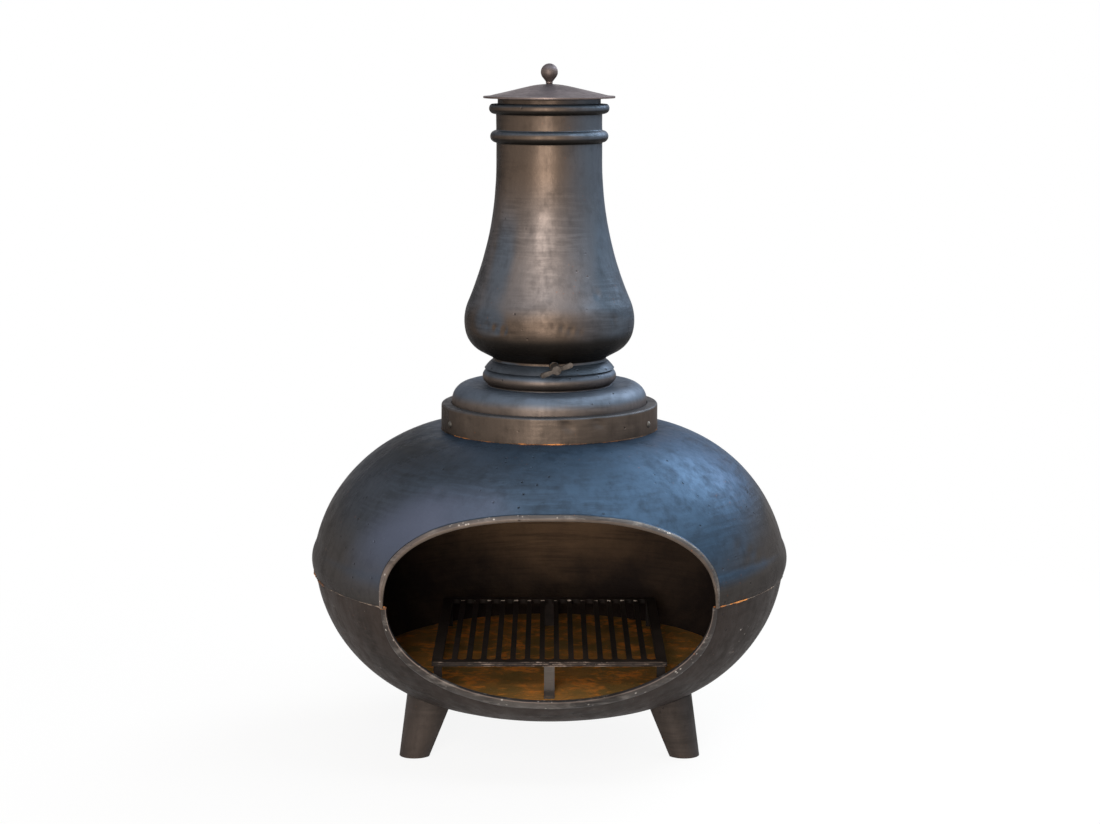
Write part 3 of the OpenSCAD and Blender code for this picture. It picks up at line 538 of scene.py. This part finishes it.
def body_line(d, step):
    """Outline of the upper shell from the joint up to the collar"""
    r, b = BODY_R - d, BEAD_R - d
    low = -math.degrees(math.asin((BEAD_C[1] - SEAM) / b))
    # where the rolled bead runs into the side
    dx, dz = BEAD_C[0] - BODY_C[0], BEAD_C[1] - BODY_C[1]
    dist = math.hypot(dx, dz)
    along = (dist ** 2 + r ** 2 - b ** 2) / 2 / dist
    off = math.sqrt(r ** 2 - along ** 2)
    x = BODY_C[0] + (dx * along - dz * off) / dist
    z = BODY_C[1] + (dz * along + dx * off) / dist
    bead = arc(BEAD_C, b, low, math.degrees(math.atan2(z - BEAD_C[1], x - BEAD_C[0])), step)
    side = arc(BODY_C, r, math.degrees(math.atan2(z - BODY_C[1], x - BODY_C[0])), TOP_FROM, step)
    return bead + side[1:] + arc(TOP_C, TOP_R - d, TOP_FROM, 90, step)[1:]


# halves of the mouth: half width, height, exponent of the superellipse, and up or down
MOUTHS = {"up": (256.0, 144.5, 2.33, 1), "low": (250.0, 142.0, 2.15, -1)}


def mouth_line(which, n):
    """Half outline of the mouth from the right seam to the left one: (x, z) and outward normal"""
    w, h, p, up = MOUTHS[which]
    out = []
    for i in range(n + 1):
        a = math.pi * i / n
        c, s = math.cos(a), math.sin(a)
        x = w * math.copysign(abs(c) ** (2 / p), c)
        z = h * abs(s) ** (2 / p)
        nx = math.copysign(abs(x / w) ** (p - 1) / w, x)
        nz = (z / h) ** (p - 1) / h
        length = math.hypot(nx, nz)
        nx, nz = nx / length, nz / length
        out.append((x, SEAM + up * z, nx, up * nz))
    return out


def even(line, step):
    """The same outline with points spaced evenly"""
    p = np.array(line)
    d = np.r_[0, np.cumsum(np.hypot(np.diff(p[:, 0]), np.diff(p[:, 1])))]
    s = np.linspace(0, d[-1], int(d[-1] / step) + 1)
    return np.c_[tuple(np.interp(s, d, p[:, i]) for i in range(4))]


def mouth_prism(which):
    """The block that a half of the mouth takes out of its shell"""
    w, _, _, up = MOUTHS[which]
    line = [(x, z) for x, z, _, _ in even(mouth_line(which, 400), 4)]
    line = [(w, SEAM - 4 * up)] + line + [(-w, SEAM - 4 * up)]
    if up < 0:
        line.reverse()
    n = len(line)
    verts = [(x, 0, z) for x, z in line] + [(x, -450, z) for x, z in line]
    faces = [tuple(range(n - 1, -1, -1)), tuple(range(n, 2 * n))]
    faces += [(i, j, j + n, i + n) for i, j in ((i, (i + 1) % n) for i in range(n))]
    return verts, faces


# ---------------------------------------------------------------- firebox shells
def shell(name, node, line, mouth, mat, seed):
    """A casting of the firebox, round but for its half of the mouth, painted outside and sooty inside"""
    ob = add(name, *revolve(line, 288), "fireplace", mat, [node])
    uneven(ob, 0.7, 90, seed)
    cut(ob, mouth_prism(mouth))
    ob.data.materials.append(SOOT)
    # the inside of a casting is the side whose faces look at its own middle
    mid = Vector((0, AXIS_Y, 0.28))
    outermost = 0.3905
    for f in ob.data.polygons:
        to = f.center - mid
        if f.normal.dot(to) < 0 and math.hypot(to.x, to.y) < outermost:
            f.material_index = 1
    return ob


shell("bowl_shell", "lower_bowl", bowl_line(0, 3.5) + bowl_line(WALL, 7)[::-1], "low", BOWL, 1)
# the ring on which the collar stands
stand = [(168.7, TOP_Z), (168.7, 544.2), (168.0, SEAT_Z), (152, SEAT_Z), (151, 544.0), (151, TOP_Z - WALL)]
body = shell("body_shell", "upper_body",
             soften(body_line(0, 2.5), 2.0) + stand + body_line(WALL, 7)[::-1], "up", SHELL, 2)
dent(body, [(53, 364, 9, 1.1), (57, 351, 7, 1.2), (61, 339, 8, 1.1), (55, 338, 6, 0.8), (-33, 455, 9, 0.9),
            (24, 470, 8, 0.8), (140, 400, 12, 1.3), (200, 372, 10, 1.0), (250, 430, 11, 1.1)])


# ---------------------------------------------------------------- lips round the mouth
LIP_SPACING = 3.0
NOTCH = 3.6            # how far the inner edge of the upper lip stands in at the seam


def lip(name, which, section, seed, seam_w, rise, mats):
    """Hand-worked bead along the mouth. A section point is how far out of the mouth it lies, seen from the
    front, and how high over the shell, or with a third value how deep into the wall. The bead is seam_w times
    as wide where it ends at the seam, and full after rise. mats gives the last side of each material"""
    radius = body_r if which == "up" else bowl_r
    up = MOUTHS[which][3]
    rows = []
    for x, z, nx, nz in even(mouth_line(which, 600), LIP_SPACING):
        length = math.hypot(nx, nz)
        nx, nz = nx / length, nz / length
        full = min(abs(z - SEAM) / rise, 1)
        full = full * full * (3 - 2 * full)
        wide = (seam_w + (1 - seam_w) * full) * (1 + 0.10 * noise.noise(Vector((x * 0.02, z * 0.02, seed))))
        high = 0.55 + 0.45 * full
        row = []
        for g, h, *deep in section:
            if up > 0 and g < 1:
                g -= NOTCH * (1 - full)
            wob = noise.noise(Vector((x * 0.06, z * 0.06, seed + 3 + g * 0.25)))
            fine = noise.noise(Vector((x * 0.3, z * 0.3, seed + 9 + g * 0.5)))
            gx, gz = x + nx * g * wide, z + nz * g * wide
            gz = max(gz, SEAM) if up > 0 else min(gz, SEAM)
            ro = radius(gz)
            yo = math.sqrt(ro * ro - gx * gx)
            if deep:
                ri = radius(gz, WALL)
                yi = math.sqrt(ri * ri - gx * gx)
                row.append((gx, -(yo + (yi - yo) * deep[0]), gz))
                continue
            dz = 0.5 * up
            slope = (radius(gz + dz) - radius(gz)) / dz
            n = Vector((gx / ro, -yo / ro, -slope)).normalized()
            sunk = 0.35 + 0.35 * wob + 0.22 * fine if h > 0.4 else 0
            q = Vector((gx, -yo, gz)) + n * ((h - sunk) * (high if h > 0 else 1))
            q.z = max(q.z, SEAM + 0.05) if up > 0 else min(q.z, SEAM - 0.05)
            row.append(tuple(q))
        rows.append(row)
    ob = tube(name, rows, "fireplace", mats[0][0], inside_out=up > 0)
    for mat, _ in mats[1:]:
        ob.data.materials.append(mat)
    for f in ob.data.polygons:
        side = f.index % len(section)
        f.material_index = next((i for i, (_, last) in enumerate(mats) if side <= last), len(mats) - 1)


UP_SECTION = [(-0.7, 0, 1.06), (-0.8, 0, 0.6), (-0.8, 0, 0.2), (-0.5, 1.2), (0.3, 2.7), (1.5, 3.6), (3.0, 4.0),
              (4.6, 3.9), (6.2, 3.3), (7.6, 2.3), (8.9, 1.0), (10.2, -0.5), (7, -2.5), (2, 0, 0.6), (1, 0, 1.02)]
LOW_SECTION = [(-0.7, 0, 1.06), (-0.8, 0, 0.6), (-0.8, 0, 0.2), (-0.5, 1.4), (0.3, 2.5), (1.5, 3.1), (3.4, 3.5),
               (6.4, 3.8), (9.6, 3.8), (12.2, 3.2), (13.6, 1.6), (14.4, -0.5), (8, -2.5), (2, 0, 0.6), (1, 0, 1.02)]
lip("mouth_lip_upper", "up", UP_SECTION, 11, 0.42, 60, [(LIP, 4), (CREST, 8), (SHELL, 99)])
lip("mouth_lip_lower", "low", LOW_SECTION, 31, 0.5, 90, [(RIM, 2), (CREST, 3), (RIM, 10), (BOWL, 99)])


# ---------------------------------------------------------------- ears, band, collar, stack and lid
def bevelled(name, boxes, body, mat, width):
    """Cast blocks with rounded edges, each box a centre, size and turn about Z"""
    verts, faces = [], []
    for (cx, cy, cz), size, a in boxes:
        b = len(verts)
        for k in range(8):
            x, y, z = (side / 2 if k >> i & 1 else -side / 2 for i, side in enumerate(size))
            verts.append((cx + x * math.cos(a) - y * math.sin(a), cy + x * math.sin(a) + y * math.cos(a), cz + z))
        faces += [tuple(b + i for i in f) for f in
                  ((0, 2, 3, 1), (4, 5, 7, 6), (0, 1, 5, 4), (2, 6, 7, 3), (0, 4, 6, 2), (1, 3, 7, 5))]
    m = add(name, verts, faces, body, mat).modifiers.new("bevel", "BEVEL")
    m.width, m.segments, m.harden_normals = width * MM, 3, True


seam_in = bowl_r(SEAM, WALL)
EAR_DEEP, EAR_IN_WALL = 30, 2
EAR_R = (seam_in - EAR_DEEP + seam_in + EAR_IN_WALL) / 2
EAR_SIZE = (EAR_DEEP + EAR_IN_WALL, 30, 9)
for name, dz in (("bowl_ears", -4.5), ("body_ears", 4.5)):
    turns = [math.radians(deg - 90) for deg in (62, 118, 242, 298)]
    bevelled(name, [((EAR_R * math.cos(a), EAR_R * math.sin(a), SEAM + dz), EAR_SIZE, a) for a in turns],
             "fireplace", SOOT, 1.5)

BAND_TOP = TOP_Z + 42
band = soften([(176.3, TOP_Z), (176.3, 553.03)] + arc((172.3, 553.03), 4, 0, 90, 0.8) + [(159.6, BAND_TOP)], 0.7)
band += [(159.4, 551.03), (169.0, 551.03), (169.0, TOP_Z)]
band = add("clamp_band_cast", *revolve(band, 256), "fireplace", BAND, ["clamp_band"])
uneven(band, 0.45, 40, 3)
dent(band, [(8.5, 546, 7, 2.4), (11, 540, 6, 1.7), (25, 548, 7, 2.4), (28, 544, 5, 1.7), (-47, 545, 6, 1.7),
            (-40, 536, 5, 1.0), (-70, 545, 6, 1.2), (140, 540, 6, 1.3), (210, 547, 5, 1.2)])

COLLAR_TOP = BAND_TOP + 56.5
DOME_C = (131.6, 562.03)                                  # round which the collar's dome is drawn
collar = soften([(158.6, SEAT_Z), (158.6, DOME_C[1])] + arc(DOME_C, 27, 0, 90, 1.5)
                + [(100.5, 585.5), (100.5, 588.7)] + arc((96.5, COLLAR_TOP - 13), 12.5, -71.3, 71.3, 0.8)
                + [(100.5, COLLAR_TOP)], 1.3)
collar += [(92, COLLAR_TOP), (92, COLLAR_TOP + 5), (86, COLLAR_TOP + 5), (86, 578.03), (DOME_C[0], 578.03)]
collar += arc(DOME_C, 16, 90, 0, 4)[1:] + [(147.6, SEAT_Z)]
uneven(add("neck_collar_cast", *revolve(collar, 224), "fireplace", COLLAR, ["neck_collar"]), 0.5, 50, 4)

NECK_R = 92.4
BULB_C, BULB_R = (58.2, COLLAR_TOP + 77.5), 80            # the bulb, from the flare down to its underside
LOW_FROM, LOW_R = 12, 48                                  # its underside: degrees below level where it begins
LOW_C = (BULB_C[0] + (BULB_R - LOW_R) * math.cos(math.radians(LOW_FROM)),
         BULB_C[1] - (BULB_R - LOW_R) * math.sin(math.radians(LOW_FROM)))
LOW_TO = 61.5                                             # and where it runs straight to the neck
TOP_STRAIGHT = 85.3                                       # radius at the beads
FLARE_R, FLARE_RISE = 570.73, 257                         # the flare, and how far its centre is over the bulb's
FLARE_C = (FLARE_R + TOP_STRAIGHT, BULB_C[1] + FLARE_RISE)
FLARE_TURN = math.degrees(math.asin(FLARE_RISE / (FLARE_R + BULB_R)))
STACK_TOP = 1047.5


def stack_line(d):
    """Surface of the stack from the neck to the straight top, moved in by d"""
    a, neck = math.radians(LOW_TO), NECK_R - d
    low = (LOW_C[0] + (LOW_R - d) * math.cos(a), LOW_C[1] - (LOW_R - d) * math.sin(a))
    line = [(neck, COLLAR_TOP + 13), (neck, low[1] - (low[0] - neck) / math.tan(a))]
    line += arc(LOW_C, LOW_R - d, -LOW_TO, -LOW_FROM, 2.0) + arc(BULB_C, BULB_R - d, -LOW_FROM, FLARE_TURN, 2.5)[1:]
    return line + arc(FLARE_C, FLARE_R + d, 180 + FLARE_TURN, 180, 4.0)[1:]


# the moulding over the joint
foot = arc((60.3, COLLAR_TOP - 29.4), 54, math.degrees(math.asin(29.4 / 54)), math.degrees(math.asin(42.4 / 54)), 1.5)
bead_1, bead_2 = STACK_TOP - 60.5, STACK_TOP - 16
crest = [(TOP_STRAIGHT, bead_1 - 10)] + arc((TOP_STRAIGHT, bead_1), 10, -90, 90, 0.8)
crest += [(TOP_STRAIGHT, bead_2 - 8.7)] + arc((87.8, bead_2), 9, -106, 53, 0.8)
crest += [(82.8, bead_2 + 7.2), (82.8, STACK_TOP - 1.2)]
outer = soften(foot + stack_line(0) + crest, 1.1)
outer += [(82.0, STACK_TOP - 0.1), (80.4, STACK_TOP - 0.1), (79.3, STACK_TOP - 1)]
inner = stack_line(WALL)[::-1] + [(86, COLLAR_TOP + 12), (92.3, COLLAR_TOP + 5.3), (92.3, COLLAR_TOP)]
stack_verts, stack_faces = revolve(outer + inner, 224)
# bosses of the damper shaft
DAMPER_Z, SHAFT_TURN = 628.0, math.radians(4.5)
boss = [(4.3, 88), (8, 88), (8, 104.6), (7.6, 105.6), (6.8, 106), (4.8, 106), (4.3, 105.6)]
for back in (0, math.pi):
    v, f = revolve(boss, 32)
    b = len(stack_verts)
    c, s = math.cos(SHAFT_TURN + back), math.sin(SHAFT_TURN + back)
    stack_verts += [(x * c + z * s, x * s - z * c, DAMPER_Z + y) for x, y, z in v]
    stack_faces += [tuple(b + i for i in q) for q in f]
stack_cast = add("stack_cast", stack_verts, stack_faces, "fireplace", STACK, ["stack"], sharp=40)
uneven(stack_cast, 0.6, 70, 5)
dent(stack_cast, [(-46, 694, 5, 2.0), (-38, 690, 6, 2.6), (-31, 687, 5, 2.2), (-26, 683, 4, 1.4), (3, 697, 4, 1.6),
                  (9, 693, 5, 2.4), (14, 689, 5, 2.2), (20, 686, 4, 1.3), (48, 700, 5, 1.6), (-62, 812, 5, 0.9),
                  (-20, 840, 5, 0.8), (38, 742, 6, 1.1), (150, 700, 8, 1.6), (205, 735, 7, 1.4), (95, 850, 6, 0.9)])

LID_Z = STACK_TOP + 0.3
LID_TOP = LID_Z + 22
lid = soften(arc((0, LID_TOP - 150), 150, 88.6, 76.8, 4) + [(98.4, LID_Z + 3), (104.9, LID_Z + 3)], 1.0)
# the rim, the underside and the ring that centres the lid in the stack
lid += [(r, LID_Z + z) for r, z in
        ((105.4, 2.5), (105.5, 1.5), (105.4, 0.5), (105, 0), (90.4, 0), (84.9, 2.0), (84.8, 0), (78, 0), (78, -11.5),
         (77.5, -12), (74.5, -12), (74, -11.5), (74, 4.7), (33.3, 14.1), (3.6, 17.9))]
uneven(add("lid_cast", *revolve(lid, 192), "rain_lid", LID, ["lid"]), 0.3, 35, 6)

KNOB_Z, KNOB_R = LID_TOP + 19, 13.8
knob = [(5, LID_TOP), (6, LID_Z + 24), (5.4, LID_Z + 25.5)] + arc((0, KNOB_Z), KNOB_R, -34.5, 90, 1.0)
knob = [(0, LID_Z + 4), (3, LID_Z + 4), (3, LID_Z + 21.9)] + soften(knob, 0.5, 0.25, 1.5)
knob[-1] = (0, knob[-1][1])
uneven(add("knob_cast", *revolve(knob, 64), "rain_lid", LID, ["knob"]), 0.25, 14, 7)


# ---------------------------------------------------------------- seats of the leg bolts, inside the bowl
seat_verts, seat_faces = [], []
LEG_LEN = BOWL_C[1] / math.cos(LEAN) - BOWL_R
foot_r = BOWL_C[0] + BOWL_C[1] * math.tan(LEAN)
for az in (-60, 60, 180):
    v, f = revolve([(0, 3), (13, 3), (13, 8.4), (12.4, 9), (0, 9)], 48)
    b = len(seat_verts)
    a = math.radians(az)
    for x, y, z in v:
        z += LEG_LEN
        y, z = y * math.cos(-LEAN) - z * math.sin(-LEAN), y * math.sin(-LEAN) + z * math.cos(-LEAN)
        y -= foot_r
        seat_verts.append((x * math.cos(a) - y * math.sin(a), x * math.sin(a) + y * math.cos(a), z))
    seat_faces += [tuple(b + i for i in q) for q in f]
add("leg_seats", seat_verts, seat_faces, "fireplace", SOOT)


# ---------------------------------------------------------------- rust and ash that have a shape, and painted highlights drawn as pale flecks
def crust_ring(name, r, z, wide, high, seed, mat, start=0.0, sweep=360.0):
    """Thin irregular crust along a joint, broken here and there. Degrees count from the front, over the right"""
    n = int(sweep * r * math.pi / 180 / 2.5)
    k, rows = 6, []
    for i in range(n + 1):
        a = math.radians(start + sweep * i / n)
        p = Vector((math.sin(a) * r * 0.02, math.cos(a) * r * 0.02, seed))
        t = max(0.05, 0.55 + 0.9 * noise.noise(p) + 0.5 * noise.noise(p * 5))
        row = []
        for j in range(k):
            b = math.radians(-80 + 250 * j / (k - 1))
            rr = r + wide * t * math.cos(b) * 0.6 - 0.6
            row.append((rr * math.sin(a), -rr * math.cos(a), z + high * t * math.sin(b) * 0.6))
        rows.append(row)
    tube(name, rows, "fireplace", mat)


def crust_line(name, a, b, thick, seed, mat):
    """Thin broken crust along a straight edge of the grate from a to b: ash, and on the bars' rear ends a painted
    highlight
    """
    a, b = Vector(a), Vector(b)
    turns = [math.radians(c) for c in range(-90, 211, 60)]
    n, rows = int((b - a).length / 2.0), []
    for i in range(n + 1):
        p = a.lerp(b, i / n)
        t = max(0.12, 0.55 + 0.8 * noise.noise(p * 0.06 + Vector((seed, 0, 0))) + 0.5 * noise.noise(p * 0.4))
        rows.append([(p.x, p.y - thick * t * math.cos(c) + 0.3, p.z + thick * t * math.sin(c) - 0.3) for c in turns])
    tube(name, rows, "grate", mat, "grate_iron")


crust_ring("band_rust", 176.4, TOP_Z + 0.3, 2.6, 2.4, 5, SEAM_RUST)
# the joint of the two shells, from one corner of the mouth round the back to the other
crust_ring("seam_crust", 384.6, SEAM, 3.0, 2.4, 8, SEAM_LINE, 42.2, 275.6)
crust_ring("seam_rust_left", 385.2, SEAM - 0.3, 4.6, 4.6, 9, CORNER_RUST, 274.0, 17.0)
crust_ring("seam_rust_right", 385.0, SEAM, 4.0, 3.4, 12, CORNER_RUST, 43.0, 10.0)
crust_ring("corner_rust_left", 383.6, SEAM - 0.6, 3.4, 6.0, 14, CORNER_RUST, 317.6, 1.7)
crust_ring("corner_rust_right", 383.8, SEAM + 1.0, 3.4, 7.0, 15, CORNER_RUST, 41.0, 1.4)


def in_mm(corners):
    """Corners of a box, in mm about the flue axis"""
    return [(v.x * 1000, (v.y - AXIS_Y) * 1000, v.z * 1000) for v in corners]


rail_lo, rail_hi = in_mm(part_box("grate_rails"))
for i, (drop, thick) in enumerate(((0.2, 1.0), (3.4, 1.3), (6.4, 1.0))):
    crust_line("rail_ash_%d" % i, (rail_lo[0] + 2, rail_lo[1], rail_hi[2] - drop),
               (rail_hi[0] - 2, rail_lo[1], rail_hi[2] - drop), thick, 3 + i, ASH)
strap_lo, strap_hi = in_mm(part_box("grate_strap_front"))
for i, back in enumerate((0.3, 26.0)):
    y, z = strap_lo[1] + back, strap_lo[2] + 4.2
    crust_line("strap_ash_%d" % i, (strap_lo[0] + 1, y, z), (strap_hi[0] - 1, y, z), 0.9, 5 + i, ASH)
# a painted highlight on the rear end of each bar, drawn as a pale fleck
_, bar_hi = in_mm(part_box("grate_bars"))
bars = nodes["grate_bars"]
bar_ends = []
for x in sorted((bars.matrix_world @ v.co).x for v in bars.data.vertices):
    if not bar_ends or x - bar_ends[-1] > 0.012:
        bar_ends.append(x)
for i, x in enumerate(bar_ends):
    x, y, z = x * 1000 + 4, bar_hi[1] - 3.0, bar_hi[2]
    crust_line("bar_glint_%02d" % i, (x - 3.2, y, z), (x + 3.2, y, z), 2.6, 21 + 3 * i, GLINT)


# ---------------------------------------------------------------- finish of the pieces that keep their own mesh
FINISH = {
    "leg_left": LEG, "leg_right": LEG, "leg_rear": LEG, "hearth_plate": RUST, "grate_rails": GRATE, "grate_bars": GRATE,
    "grate_corner_legs": GRATE, "grate_strap_front": STRAP, "grate_strap_rear": GRATE, "seam_bolts": STEEL,
    "seam_nuts": STEEL, "leg_bolts": STEEL, "leg_washers": STEEL, "band_screws": SCREW, "damper_plate": GRATE,
    "damper_screws": STEEL, "damper_shaft": KEY, "damper_key": KEY, "damper_clip": STEEL, "knob_nut": STEEL,
}
WORN_EDGES = ("grate_rails", "grate_bars", "grate_corner_legs", "grate_strap_front", "grate_strap_rear", "damper_key")
for node, mat in FINISH.items():
    slots = nodes[node].data.materials
    if not len(slots):
        slots.append(mat)
    for i in range(len(slots)):
        slots[i] = mat
for node in WORN_EDGES:
    m = nodes[node].modifiers.new("worn_edges", "BEVEL")
    m.width, m.segments, m.harden_normals = 0.8 * MM, 2, True
    m.limit_method, m.angle_limit = "ANGLE", math.radians(35)


# ---------------------------------------------------------------- floor, light and camera
def seen_by_eye(t, plain, white):
    """White for what the camera sees straight or in a reflection, plain for the light itself"""
    path = t.nodes.new("ShaderNodeLightPath")
    seen = path.outputs["Is Camera Ray"]
    for k in ("Is Glossy Ray", "Is Transmission Ray"):
        either = t.nodes.new("ShaderNodeMath")
        either.operation = "MAXIMUM"
        t.links.new(seen, either.inputs[0])
        t.links.new(path.outputs[k], either.inputs[1])
        seen = either.outputs[0]
    mix = t.nodes.new("ShaderNodeMixShader")
    for i, value in enumerate((seen, plain, white)):
        t.links.new(value, mix.inputs[i])
    return mix.outputs[0]


def empty_tree(owner):
    owner.use_nodes = True
    owner.node_tree.nodes.clear()
    return owner.node_tree


world = bpy.data.worlds.new("studio")
scene.world = world
t = empty_tree(world)
dim, bright = t.nodes.new("ShaderNodeBackground"), t.nodes.new("ShaderNodeBackground")
dim.inputs[0].default_value, dim.inputs[1].default_value = (0.92, 0.95, 1.0, 1), 0.22
bright.inputs[0].default_value, bright.inputs[1].default_value = (1, 1, 1, 1), 1.0
out = t.nodes.new("ShaderNodeOutputWorld")
t.links.new(seen_by_eye(t, dim.outputs[0], bright.outputs[0]), out.inputs[0])

FLOOR = 40             # half the side of the floor, in metres
me = bpy.data.meshes.new("floor")
me.from_pydata([(x * FLOOR, y * FLOOR, 0) for x, y in ((-1, -1), (1, -1), (1, 1), (-1, 1))], [], [(0, 1, 2, 3)])
floor = put_in_scene("floor", me)
floor_look = bpy.data.materials.new("pale_floor")
me.materials.append(floor_look)
t = empty_tree(floor_look)
plain = t.nodes.new("ShaderNodeBsdfDiffuse")
plain.inputs[0].default_value = (0.78, 0.76, 0.74, 1)
glow = t.nodes.new("ShaderNodeEmission")
# the shadow under the object fades out into plain white
SHADOW_NEAR, SHADOW_FAR = (0.35, 0.90), (1.7, 1.0)        # metres from the middle, and share of white there
where, far = t.nodes.new("ShaderNodeTexCoord"), t.nodes.new("ShaderNodeVectorMath")
far.operation = "LENGTH"
fade = t.nodes.new("ShaderNodeMapRange")
fade.interpolation_type = "SMOOTHSTEP"
for i, v in enumerate((SHADOW_NEAR[0], SHADOW_FAR[0], SHADOW_NEAR[1], SHADOW_FAR[1])):
    fade.inputs[i + 1].default_value = v
t.links.new(where.outputs["Object"], far.inputs[0])
t.links.new(far.outputs["Value"], fade.inputs[0])
both = t.nodes.new("ShaderNodeMixShader")
for i, value in enumerate((fade.outputs[0], plain.outputs[0], glow.outputs[0])):
    t.links.new(value, both.inputs[i])
out = t.nodes.new("ShaderNodeOutputMaterial")
t.links.new(seen_by_eye(t, plain.outputs[0], both.outputs[0]), out.inputs[0])


def panel(name, azimuth, elevation, distance, width, height, radiance, color):
    """Soft rectangular panel that looks at the middle of the object, azimuth 0 in front and 90 to the right"""
    aim = Vector((0, 0, 0.55))
    a, e = math.radians(azimuth), math.radians(elevation)
    lamp = bpy.data.lights.new(name, "AREA")
    lamp.shape, lamp.size, lamp.size_y, lamp.color = "RECTANGLE", width, height, color
    lamp.energy = radiance * math.pi * width * height
    ob = put_in_scene(name, lamp)
    ob.location = aim + distance * Vector((math.sin(a) * math.cos(e), -math.cos(a) * math.cos(e), math.sin(e)))
    ob.rotation_mode = "QUATERNION"
    ob.rotation_quaternion = (ob.location - aim).to_track_quat("Z", "Y")


panel("front_panel", -9, 19, 4.6, 1.6, 3.3, 11.0, (1.0, 0.94, 0.87))
panel("low_front_panel", -10, -4, 4.2, 1.7, 0.5, 22.0, (1.0, 0.93, 0.86))
panel("top_panel", 70, 52, 3.6, 2.4, 2.4, 3.7, (0.84, 0.92, 1.0))
panel("front_top_panel", -16, 76, 3.6, 2.8, 1.8, 2.3, (0.92, 0.95, 1.0))
panel("side_panel", 132, 34, 4.2, 2.0, 2.6, 11.0, (0.86, 0.93, 1.0))
panel("back_panel", 175, 35, 4.0, 3.0, 2.0, 1.4, (1.0, 0.98, 0.95))

# the camera as fitted to the photograph: 3.8 m in front of the flue and looking 8.95 degrees down
cam = bpy.data.cameras.new("camera")
cam.lens, cam.sensor_width = 77.14, 36.0
eye = put_in_scene("camera", cam)
eye.location = (0.0011, AXIS_Y - 3.8, 1.138)
eye.rotation_euler = (math.radians(90 - 8.95), 0, 0)
scene.camera = eye
scene.view_settings.view_transform = "Standard"
